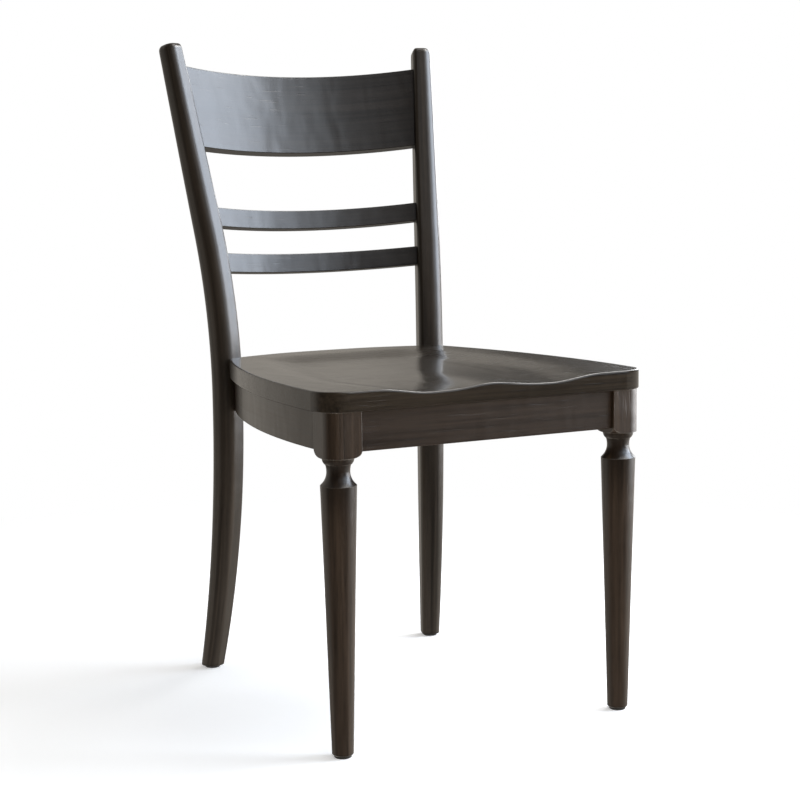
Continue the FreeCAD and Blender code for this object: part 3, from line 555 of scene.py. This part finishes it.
def lies_along(axis: int, at: float | None = None) -> EdgeTest:
    """Return a test for edges that run along an axis.

    Args:
        axis: 0, 1 or 2.
        at: The depth at which they lie, or None for any.

    Returns:
        The test.
    """

    def test(edge: bmesh.types.BMEdge) -> bool:
        """Tell whether an edge runs along the axis, at the depth."""
        way = (edge.verts[1].co - edge.verts[0].co).normalized()
        there = at is None or abs(edge.verts[0].co.y - at) < TOUCHING
        return there and abs(way[axis]) > STRAIGHT_ENOUGH

    return test


def level_at(height: float) -> EdgeTest:
    """Return a test for edges that lie level.

    Args:
        height: The height at which they lie.

    Returns:
        The test.
    """

    def test(edge: bmesh.types.BMEdge) -> bool:
        """Tell whether both ends of an edge are at the height."""
        return all(abs(vert.co.z - height) < TOUCHING for vert in edge.verts)

    return test


def upright_at(x: float, y: float) -> EdgeTest:
    """Return a test for edges that stand upright at a corner of a bar.

    Args:
        x: The corner's first coordinate.
        y: The corner's second coordinate.

    Returns:
        The test.
    """
    corner = Vector((x, y))

    def test(edge: bmesh.types.BMEdge) -> bool:
        """Tell whether both ends of an edge are at the corner."""
        return all((vert.co.to_2d() - corner).length < NEAR_CORNER for vert in edge.verts)

    return test


def arc_fall(run: float, step: float, full_run: float) -> float:
    """Return how far an arc that leaves its start upright has moved sideways.

    Args:
        run: Distance gone along the start's direction.
        step: Sideways move at the end.
        full_run: Distance of the end.

    Returns:
        The sideways move at the run.
    """
    radius = (full_run**2 + step**2) / (2 * step)
    return radius - math.sqrt(radius**2 - run**2)


@dataclass
class PostLine:
    """The sabre curve of the rear posts, which the back's rails follow, in millimetres and degrees."""

    spread: float = 332.8
    line: float = 162.3
    turn: float = 23.5
    rake: float = 14.45
    bend_radius: float = 985.0
    joint_top: float = 400.0
    slope_step: float = 1.0

    @property
    def lean(self) -> float:
        """Return the rake in radians."""
        return math.radians(self.rake)

    @property
    def bend_end(self) -> float:
        """Return the height at which the bend ends and the straight top begins."""
        return self.joint_top + self.bend_radius * math.sin(self.lean)

    def setback(self, height: float) -> float:
        """Find the post's middle line at a height, in the post's plane.

        Args:
            height: Height over the floor, not below the bend.

        Returns:
            How far back the line is.
        """
        if height > self.bend_end:
            straight = (height - self.bend_end) * math.tan(self.lean)
            return self.bend_radius * (1 - math.cos(self.lean)) + straight
        return self.bend_radius - math.sqrt(self.bend_radius**2 - (height - self.joint_top) ** 2)

    def slope(self, height: float) -> float:
        """Find how steeply the middle line leans back at a height.

        Args:
            height: Height over the floor.

        Returns:
            The way back for each millimetre of height.
        """
        above = self.setback(height + self.slope_step)
        below = self.setback(height - self.slope_step)
        return (above - below) / (2 * self.slope_step)


@dataclass
class Posts:
    """Two rear posts, sabre-shaped, tapered and rounded over, in millimetres."""

    curve: PostLine
    low: float = 3.0
    high: float = 906.6
    joint_bottom: float = 384.0
    depth: float = 37.4
    top_depth: float = 29.4
    foot_depth: float = 29.0
    foot_setback: float = 43.3
    width: float = 40.0
    top_width: float = 29.2
    foot_width: float = 29.0
    outer_front: Round = Round(17.0, 10)
    outer_rear: Round = Round(14.0, 8)
    inner_arris: Round = Round(8.5, 6)
    top_round: Round = Round(8.0, 5)
    foot_round: Round = Round(2.0, 3)
    splay: float = 3.2
    lean_start: float = 650.0
    lengths: int = 76
    # Lit and shaded copies of one finish: the left post is lighter as painted light from the left, the
    # right post darker as painted shade
    lit_left_finish: Wood = Wood(
        "stained_wood_left_post_painted_light",
        Grain.UPRIGHT,
        (3.1, 0.7, 0.2),
        deep=(0.0050, 0.0035, 0.0024, 1.0),
        warm=(0.041, 0.0300, 0.0210, 1.0),
        streaks=replace(FINE_STREAKS, across=190.0),
        relief=0.08,
        nicks=0.12,
        bent=True,
    )
    shaded_right_finish: Wood = replace(
        lit_left_finish,
        name="stained_wood_right_post_painted_shade",
        deep=(0.0042, 0.0030, 0.0021, 1.0),
        warm=(0.033, 0.0243, 0.0171, 1.0),
    )

    def build(self) -> list[str]:
        """Make and dress both posts.

        Returns:
            Their names.
        """
        left = self.saw("left_rear_post", -1, self.lit_left_finish.material())
        right = self.saw("right_rear_post", 1, self.shaded_right_finish.material())
        return [left, right]

    def faces(self, height: float) -> Pair:
        """Find the front and the rear face at a height, in the post's plane.

        Args:
            height: Height over the floor.

        Returns:
            How far back the two faces are.
        """
        curve = self.curve
        half = self.depth / 2
        if height < self.joint_bottom:
            run = self.joint_bottom - height
            full_run = self.joint_bottom - self.low
            front = arc_fall(run, self.foot_setback - self.foot_depth / 2 + half, full_run) - half
            rear = arc_fall(run, self.foot_setback + self.foot_depth / 2 - half, full_run) + half
            return front, rear
        if height < curve.joint_top:
            return -half, half
        if height < curve.bend_end:
            return curve.setback(height) - half, curve.setback(height) + half
        rise = self.top_depth / 2 * math.sin(curve.lean)
        reach = self.top_depth / 2 * math.cos(curve.lean)
        start = curve.setback(curve.bend_end)
        end = curve.setback(self.high)
        front_share = (height - curve.bend_end) / (self.high + rise - curve.bend_end)
        rear_share = (height - curve.bend_end) / (self.high - rise - curve.bend_end)
        front = start - half + (end - reach - start + half) * front_share
        rear = start + half + (end + reach - start - half) * rear_share
        return front, rear

    def half_width(self, height: float) -> float:
        """Find half the post's width at a height.

        Args:
            height: Height over the floor.

        Returns:
            Half the width.
        """
        joint_top = self.curve.joint_top
        fall = 0.0
        if height > joint_top:
            crown = self.high + self.top_depth / 2 * math.sin(self.curve.lean)
            run = min(height, crown) - joint_top
            fall = arc_fall(run, (self.width - self.top_width) / 2, crown - joint_top)
        elif height < self.joint_bottom:
            run = self.joint_bottom - height
            fall = arc_fall(run, (self.width - self.foot_width) / 2, self.joint_bottom - self.low)
        return self.width / 2 - fall

    def saw(self, node: str, side: int, material: bpy.types.Material) -> str:
        """Make one post: a bar with rounded arrises and ends, bent to the sabre curve.

        Args:
            node: The frame node it stands for.
            side: -1 for the left, 1 for the right.
            material: Its finish.

        Returns:
            The post's name.
        """
        half_depth = self.depth / 2
        half_width = self.width / 2
        bench = Bench(f"sabre_{node}", billet=BILLET_GAP * side)
        bench.bar(Vector((-half_depth, -half_width, self.low)), Vector((half_depth, half_width, self.high)))
        bench.round_over(self.outer_front, upright_at(-half_depth, half_width))
        bench.round_over(self.outer_rear, upright_at(half_depth, half_width))
        bench.round_over(self.inner_arris, upright_at(-half_depth, -half_width))
        bench.round_over(self.inner_arris, upright_at(half_depth, -half_width))
        bench.round_over(self.top_round, level_at(self.high))
        bench.round_over(self.foot_round, level_at(self.low))
        start = self.low + self.foot_round.radius
        bench.slices(Vector((0, 0, 1)), start, self.high - self.top_round.radius, self.lengths)
        turn = math.radians(self.curve.turn)
        tilt = math.tan(self.curve.lean)

        def bent(point: Vector) -> Vector:
            """Lay a point of the straight bar on the sabre curve and in its place in the chair.

            Args:
                point: The point in the bar: depth, width and height.

            Returns:
                The point in the chair.
            """
            share = min(max((point.z - self.lean_start) / (self.high - self.lean_start), 0.0), 1.0)
            height = point.z - point.x * self.top_depth / self.depth * tilt * share
            front, rear = self.faces(height)
            back = (front + rear) / 2 + point.x * (rear - front) / self.depth
            inner = max(-point.y / half_width, 0.0)
            splayed = point.y + self.splay * inner * (0.5 - point.x / self.depth)
            out = splayed * self.half_width(height) / half_width
            x = self.curve.spread / 2 + math.sin(turn) * back + math.cos(turn) * out
            y = self.curve.line + math.cos(turn) * back - math.sin(turn) * out
            return Vector((side * x, y, height))

        bench.shape(bent)
        return bench.done(material, node)


@dataclass(frozen=True)
class BentRail:
    """One bent rail of the back, in millimetres: station is the height at which it begins."""

    node: str
    station: float
    height: float
    thickness: float
    length: float


@dataclass
class Back:
    """Crest panel and two slats, bent to one radius and leaning with the posts, in millimetres."""

    posts: PostLine
    radius: float = 430.0
    front_arris: Round = Round(1.2, 3)
    rear_arris: Round = Round(2.6, 4)
    lengths: int = 64
    rails: tuple[BentRail, ...] = (
        BentRail("crest_panel", 761.0, 118.5, 21.0, 392.0),
        BentRail("upper_slat", 647.8, 27.6, 17.0, 364.0),
        BentRail("lower_slat", 582.2, 27.6, 17.0, 352.0),
    )
    finish: Wood = Wood(
        "stained_wood_back",
        Grain.ACROSS,
        deep=(0.0025, 0.0018, 0.0014, 1.0),
        warm=(0.0185, 0.0138, 0.0110, 1.0),
        relief=0.02,
        nicks=0.27,
        sway=0.0024,
        bent=True,
    )

    def build(self) -> list[str]:
        """Make and dress the three rails, and return their names."""
        material = self.finish.material()
        return [self.bend(rail, material) for rail in self.rails]

    def bend(self, rail: BentRail, material: bpy.types.Material) -> str:
        """Saw, round over and bend one rail.

        Args:
            rail: The rail's sizes.
            material: Its finish.

        Returns:
            The rail's name.
        """
        posts = self.posts
        middle = rail.station + rail.height / 2 * math.cos(posts.lean)
        sine = math.sin(math.radians(posts.turn))
        cosine = math.cos(math.radians(posts.turn))
        reach = posts.spread / 2 + sine * posts.setback(middle)
        chord = math.sqrt(self.radius**2 - reach**2)
        lean = math.atan(posts.slope(middle) * (cosine + sine * reach / chord))
        bow = self.radius - chord
        ahead = math.tan(lean) * (middle - rail.station)
        base_y = posts.line + cosine * posts.setback(middle) - ahead + math.cos(lean) * bow
        base_z = rail.station - math.sin(lean) * bow
        bench = Bench(f"bent_{rail.node}", billet=rail.station)
        half = Vector((rail.length / 2, rail.thickness / 2, 0))
        bench.bar(-half, half + Vector((0, 0, rail.height)))
        bench.round_over(self.front_arris, lies_along(0, at=-half.y))
        bench.round_over(self.rear_arris, lies_along(0, at=half.y))
        bench.slices(Vector((1, 0, 0)), -half.x, half.x, self.lengths)

        def bent(point: Vector) -> Vector:
            """Lay a point of the straight rail on the bend, then lean it back.

            Args:
                point: The point in the straight rail.

            Returns:
                The point in the chair.
            """
            y = math.sqrt((self.radius + point.y) ** 2 - point.x**2) - self.radius
            back = y * math.cos(lean) + point.z * math.sin(lean)
            up = point.z * math.cos(lean) - y * math.sin(lean)
            return Vector((point.x, base_y + back, base_z + up))

        bench.shape(bent)
        return bench.done(material, rail.node)


@dataclass
class Aprons:
    """Front, side and rear aprons under the seat, in millimetres."""

    top: float = 436.0
    height: float = 50.5
    thickness: float = 20.0
    arris: Round = Round(1.6, 3)
    front_face: float = -294.6
    front_half: float = 188.0
    rear_middle: float = 170.3
    rear_half: float = 152.0
    side_radius: float = 1000.0
    side_front: Pair = (224.5, -254.6)
    side_rear: Pair = (163.43, 143.07)
    side_into: float = 4.0
    lengths: int = 40
    straight_finish: Wood = Wood(
        "stained_wood_aprons",
        Grain.ACROSS,
        (0.9, 0.1, 0.5),
        deep=(0.0055, 0.0030, 0.0016, 1.0),
        warm=(0.0262, 0.0163, 0.0100, 1.0),
    )
    bowed_finish: Wood = Wood(
        "stained_wood_sides",
        Grain.ALONG,
        (0.4, 2.3, 1.1),
        deep=(0.007, 0.0039, 0.0020, 1.0),
        warm=(0.0335, 0.0208, 0.0116, 1.0),
        bent=True,
    )

    def build(self) -> list[str]:
        """Make and dress the four aprons.

        Returns:
            Their names.
        """
        straight = self.straight_finish.material()
        bowed = self.bowed_finish.material()
        return [
            self.straight("front_apron", self.front_half, self.front_face, straight),
            self.straight("rear_apron", self.rear_half, self.rear_middle - self.thickness / 2, straight),
            self.bowed("left_side_apron", -1, bowed),
            self.bowed("right_side_apron", 1, bowed),
        ]

    def straight(self, node: str, half: float, near: float, material: bpy.types.Material) -> str:
        """Make a straight apron.

        Args:
            node: The frame node it stands for.
            half: Half its length.
            near: Its front face.
            material: Its finish.

        Returns:
            The apron's name.
        """
        bench = Bench(f"board_{node}")
        low = Vector((-half, near, self.top - self.height))
        bench.bar(low, Vector((half, near + self.thickness, self.top)))
        bench.round_over(self.arris, lies_along(0))
        return bench.done(material, node)

    def bowed(self, node: str, side: int, material: bpy.types.Material) -> str:
        """Make a side apron, bowed like the seat's edge.

        Args:
            node: The frame node it stands for.
            side: -1 for the left, 1 for the right.
            material: Its finish.

        Returns:
            The apron's name.
        """
        start = Vector((*self.side_front, 0))
        end = Vector((*self.side_rear, 0))
        chord = end - start
        reach = math.sqrt(self.side_radius**2 - (chord.length / 2) ** 2) / chord.length
        centre = (start + end) / 2 + Vector((-chord.y, chord.x, 0)) * reach
        bench = Bench(f"board_{node}", billet=BILLET_GAP * side)
        far = end.y + self.side_into
        near = start.y - self.side_into
        bench.bar(Vector((-self.thickness, near, self.top - self.height)), Vector((0, far, self.top)))
        bench.round_over(self.arris, lies_along(1))
        bench.slices(Vector((0, 1, 0)), near, far, self.lengths)

        def bowed(point: Vector) -> Vector:
            """Lay a point of the straight board on the bow.

            Args:
                point: The point in the straight board.

            Returns:
                The point in the chair.
            """
            radius = self.side_radius + point.x
            x = centre.x + math.sqrt(radius**2 - (point.y - centre.y) ** 2)
            return Vector((side * x, point.y, point.z))

        bench.shape(bowed)
        return bench.done(material, node)


@dataclass
class Seat:
    """The carved saddle seat, whose boards run across the chair."""

    finish: Wood = Wood(
        "stained_wood_seat",
        Grain.ACROSS,
        (2.2, 1.7, 0.3),
        deep=(0.006, 0.0040, 0.0026, 1.0),
        warm=(0.029, 0.0205, 0.0128, 1.0),
        polish=0.2,
        # Painted highlight along the seat's arrises
        arris_highlight_radius=0.0014,
    )

    def build(self) -> list[str]:
        """Dress the seat."""
        return paint(("seat",), self.finish.material())


@dataclass
class FrontLegs:
    """Two turned front legs, in metres, with painted shade darkening the neck under the block."""

    neck_low: float = 0.347
    neck_high: float = 0.377
    finish: Wood = Wood(
        "stained_wood_legs",
        Grain.UPRIGHT,
        (1.3, 0.2, 0.9),
        deep=(0.0055, 0.0032, 0.0018, 1.0),
        warm=(0.037, 0.0232, 0.0142, 1.0),
        streaks=replace(FINE_STREAKS, across=210.0),
        # Painted highlight along the legs' arrises
        arris_highlight_radius=0.0012,
    )

    def build(self) -> list[str]:
        """Dress both legs."""
        # Painted shade over the neck's band of heights
        finish = replace(self.finish, shade_heights=(self.neck_low, self.neck_high))
        return paint(("left_front_leg", "right_front_leg"), finish.material())


@dataclass
class CornerBraces:
    """Four bare corner braces behind the aprons and the screws through them."""

    braces: tuple[str, ...] = (
        "front_left_brace",
        "front_right_brace",
        "rear_left_brace",
        "rear_right_brace",
    )
    screws: tuple[str, ...] = ("brace_screws", "seat_screws")
    wood: Wood = Wood(
        "brace_wood_bare",
        Grain.ACROSS,
        (1.9, 0.6, 1.4),
        deep=(0.27, 0.165, 0.085, 1.0),
        warm=(0.47, 0.325, 0.195, 1.0),
        roughness=(0.6, 0.75),
        lacquer=0.0,
        relief=0.15,
    )
    steel: PlainFinish = PlainFinish("zinc_screw", (0.55, 0.54, 0.52, 1.0), 1.0, (0.28, 0.42))

    def build(self) -> list[str]:
        """Dress the braces and the screws."""
        return paint(self.braces, self.wood.material()) + paint(self.screws, self.steel.material())


@dataclass
class Glides:
    """Nylon glides under the four feet."""

    nylon: PlainFinish = PlainFinish("nylon_glide", (0.035, 0.034, 0.032, 1.0), 0.0, (0.42, 0.58))

    def build(self) -> list[str]:
        """Dress the glides."""
        return paint(("front_glides", "rear_glides"), self.nylon.material())


class Reach(Enum):
    """What a lamp lights: a window must not glare in the flat seat from the other sides."""

    ALL = "ALL"
    SEAT_ONLY = "INCLUDE"
    ALL_BUT_SEAT = "EXCLUDE"


@dataclass(frozen=True)
class Lamp:
    """One area lamp: where it hangs, what it faces, its face's size, its watts and its colour."""

    name: str
    place: Triple
    aim: Triple
    size: Pair
    power: float
    colour: Triple
    mirrored: bool = True
    reach: Reach = Reach.ALL

    def hang(self) -> None:
        """Put the lamp in the scene, out of the camera's sight."""
        data = bpy.data.lights.new(self.name, "AREA")
        data.shape = "RECTANGLE"
        data.size = self.size[0]
        data.size_y = self.size[1]
        data.energy = self.power
        data.color = self.colour
        lamp = add_object(self.name, data)
        way = Vector(self.aim) - Vector(self.place)
        turned = way.to_track_quat("-Z", "Y").to_matrix().to_4x4()
        lamp.matrix_world = Matrix.Translation(Vector(self.place)) @ turned
        lamp.visible_camera = False
        lamp.visible_glossy = self.mirrored
        if self.reach is not Reach.ALL:
            lit = bpy.data.collections.new(f"{self.name}_reach")
            lit.objects.link(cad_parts["seat"])
            lit.collection_objects[0].light_linking.link_state = self.reach.value
            lamp.light_linking.receiver_collection = lit


WINDOW = Lamp(
    "window",
    (2.45, -0.85, 1.8),
    (0.0, 0.1, 0.75),
    (2.1, 2.2),
    114.0,
    (0.78, 0.87, 1.0),
    reach=Reach.ALL_BUT_SEAT,
)
LOW_SIDE = Lamp(
    "low_side",
    (2.6, -0.2, 0.42),
    (0.0, 0.0, 0.3),
    (1.8, 0.8),
    16.0,
    (0.98, 0.98, 1.0),
    reach=Reach.ALL_BUT_SEAT,
)
LOW_FRONT = replace(
    LOW_SIDE, name="low_front", place=(2.25, -1.3, 0.36), aim=(0.2, -0.2, 0.3), size=(1.2, 0.7), power=11.0
)
FLOOR_BOUNCE = Lamp(
    "floor_bounce",
    (0.0, 0.0, 0.004),
    (0.0, 0.001, 1.0),
    (1.7, 1.7),
    14.0,
    (1.0, 0.98, 0.95),
    mirrored=False,
)
FILL = Lamp(
    "fill",
    (0.1, -2.9, 0.5),
    (0.0, 0.0, 0.25),
    (2.2, 1.0),
    62.0,
    (1.0, 0.99, 0.97),
    mirrored=False,
)


@dataclass(frozen=True)
class Fade:
    """A level that eases from one value to another along one axis of the direction looked in."""

    axis: str
    given: Pair
    wanted: Pair = (0.0, 1.0)


@dataclass(frozen=True)
class Room:
    """Surroundings: white for the camera, and a dimmer room of pale walls and floor for the lacquer."""

    back_wall: tuple[Fade, ...] = (
        Fade("Y", (-0.1, 0.75), (0.06, 0.44)),
        Fade("X", (0.44, 0.53), (1.0, 0.12)),
        Fade("Z", (-0.45, -0.18)),
    )
    left_wall: tuple[Fade, ...] = (
        Fade("X", (-0.45, -0.72), (0.0, 0.5)),
        Fade("Y", (0.12, 0.5)),
        Fade("Z", (-0.65, -0.35)),
    )
    floor_behind: tuple[Fade, ...] = (Fade("Y", (0.3, 0.6), (0.0, 0.65)), Fade("Z", (-0.53, -0.66)))
    floor_below: tuple[Fade, ...] = (Fade("Z", (-0.05, -0.75), (0.0, 0.22)),)
    floor_right: tuple[Fade, ...] = (
        Fade("X", (0.5, 0.7), (0.0, 0.55)),
        Fade("Z", (0.03, -0.12)),
        Fade("Z", (-0.7, -0.5)),
    )
    tint: Tint = (1.0, 0.93, 0.83, 1.0)

    def build(self) -> None:
        """Put the room round the scene: in each direction, the lightest of its walls and floors."""
        world = bpy.data.worlds.new("studio")
        bpy.context.scene.world = world
        world.use_nodes = True
        board = NodeBoard(world.node_tree)
        split = board.add("ShaderNodeSeparateXYZ")
        board.wire(board.add("ShaderNodeTexCoord").outputs["Generated"], split.inputs["Vector"])
        axes = split.outputs
        levels = []
        for area in (self.back_wall, self.left_wall, self.floor_behind, self.floor_below, self.floor_right):
            shares = [board.span(axes[fade.axis], fade.given, fade.wanted, soft=True) for fade in area]
            levels.append(board.fold("MULTIPLY", shares))
        seen = board.add("ShaderNodeLightPath").outputs["Is Camera Ray"]
        strength = board.add("ShaderNodeMix", data_type="FLOAT")
        strength.inputs["B"].default_value = 1.0
        board.wire(seen, strength.inputs["Factor"])
        board.wire(board.fold("MAXIMUM", levels), strength.inputs["A"])
        tone = board.add("ShaderNodeMix", data_type="RGBA")
        tone.inputs["A"].default_value = self.tint
        tone.inputs["B"].default_value = WHITE
        board.wire(seen, tone.inputs["Factor"])
        shine = board.add("ShaderNodeBackground")
        board.wire(tone.outputs["Result"], shine.inputs["Color"])
        board.wire(strength.outputs["Result"], shine.inputs["Strength"])
        board.show(shine.outputs["Background"], "ShaderNodeOutputWorld")


@dataclass
class Studio:
    """Camera, floor, surroundings and lamps, in metres and degrees."""

    stand: Triple = (-1.2043, -2.3083, 0.7350)
    heading: float = -28.091
    pitch: float = 7.229
    roll: float = -0.701
    focal_pixels: float = 1871.5
    frame_pixels: float = 800.0
    sensor_millimetres: float = 36.0
    floor_radius: float = 9.0
    floor_sides: int = 96
    floor_tone: Tint = (0.82, 0.82, 0.82, 1.0)
    floor_glow: float = 0.4
    shadow_fades: Pair = (0.6, 1.5)
    room: Room = Room()
    lamps: tuple[Lamp, ...] = (
        WINDOW,
        replace(WINDOW, name="seat_window", power=94.0, mirrored=False, reach=Reach.SEAT_ONLY),
        replace(WINDOW, name="seat_sheen", power=20.0, reach=Reach.SEAT_ONLY),
        Lamp("window_wing", (1.55, -2.45, 1.8), (0.0, 0.1, 0.75), (1.2, 2.0), 15.0, (0.80, 0.89, 1.0)),
        Lamp("softbox", (0.4, -2.7, 2.5), (0.0, 0.0, 0.7), (2.8, 1.6), 5.5, (0.90, 0.95, 1.0)),
        Lamp("rim", (2.1, 1.3, 1.3), (0.1, 0.1, 0.7), (1.0, 1.3), 24.5, (0.95, 0.97, 1.0)),
        LOW_SIDE,
        LOW_FRONT,
        FLOOR_BOUNCE,
        FILL,
        Lamp("overhead", (1.3, -0.4, 3.1), (0.0, 0.0, 0.4), (2.0, 2.0), 40.0, (1.0, 0.98, 0.95)),
        Lamp("edge_light", (0.85, 0.0, 1.75), (0.1, -0.3, 0.46), (0.5, 0.28), 6.0, (1.0, 0.99, 0.97)),
    )

    def build(self) -> list[str]:
        """Set up everything round the chair.

        Returns:
            The names of what was set up.
        """
        bpy.context.scene.view_settings.view_transform = "Standard"
        self.camera()
        self.floor()
        self.room.build()
        for lamp in self.lamps:
            lamp.hang()
        return ["camera", "floor", "surroundings", *(lamp.name for lamp in self.lamps)]

    def camera(self) -> None:
        """Place the camera where the photograph was taken."""
        turn = math.radians(self.heading)
        dip = math.radians(self.pitch)
        tilt = math.radians(self.roll)
        ahead = Vector((-math.sin(turn), math.cos(turn), 0.0))
        right = Vector((math.cos(turn), math.sin(turn), 0.0))
        up = Vector((0.0, 0.0, 1.0))
        forward = ahead * math.cos(dip) - up * math.sin(dip)
        rise = up * math.cos(dip) + ahead * math.sin(dip)
        side = right * math.cos(tilt) + rise * math.sin(tilt)
        top = rise * math.cos(tilt) - right * math.sin(tilt)
        data = bpy.data.cameras.new("camera")
        data.sensor_width = self.sensor_millimetres
        data.lens = self.focal_pixels / self.frame_pixels * self.sensor_millimetres
        camera = add_object("camera", data)
        turned = Matrix((side, top, -forward)).transposed().to_4x4()
        camera.matrix_world = Matrix.Translation(Vector(self.stand)) @ turned
        bpy.context.scene.camera = camera

    def floor(self) -> None:
        """Lay a pale floor that keeps the chair's shadow."""
        bm = bmesh.new()
        bmesh.ops.create_circle(bm, cap_ends=True, segments=self.floor_sides, radius=self.floor_radius)
        mesh = bpy.data.meshes.new("floor")
        bm.to_mesh(mesh)
        bm.free()
        mesh.materials.append(self.floor_finish())
        floor = add_object("floor", mesh)
        floor.visible_glossy = False
        floor.visible_diffuse = False

    def floor_finish(self) -> bpy.types.Material:
        """Mix a matt tone near the chair with plain white further out.

        Returns:
            The floor's finish.
        """
        material, board = fresh_material("pale_floor")
        seen = board.add("ShaderNodeLightPath").outputs["Is Camera Ray"]
        matt = board.add("ShaderNodeBsdfDiffuse", Color=self.floor_tone)
        glow = board.add("ShaderNodeEmission", Color=WHITE)
        board.wire(board.span(seen, (0.0, 1.0), (0.0, self.floor_glow)), glow.inputs["Strength"])
        both = board.add("ShaderNodeAddShader")
        board.wire(matt.outputs["BSDF"], both.inputs[0])
        board.wire(glow.outputs["Emission"], both.inputs[1])
        reach = board.add("ShaderNodeVectorMath", operation="LENGTH")
        board.wire(board.add("ShaderNodeTexCoord").outputs["Object"], reach.inputs[0])
        white = board.add("ShaderNodeEmission", Color=WHITE)
        shown = board.add("ShaderNodeMixShader")
        board.wire(board.span(reach.outputs["Value"], self.shadow_fades, soft=True), shown.inputs[0])
        board.wire(both.outputs["Shader"], shown.inputs[1])
        board.wire(white.outputs["Emission"], shown.inputs[2])
        board.show(shown.outputs["Shader"])
        return material


def main() -> None:
    """Build the chair's looks, sub-assembly by sub-assembly."""
    logging.basicConfig(level=logging.INFO, format="%(message)s")
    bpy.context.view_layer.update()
    curve = PostLine()
    chair = (Posts(curve), Back(curve), Aprons(), Seat(), FrontLegs(), CornerBraces(), Glides())
    for part in (Studio(), *chair):
        for name in part.build():
            log.info("%s: %s", type(part).__name__, name)


if __name__ == "__main__":
    main()
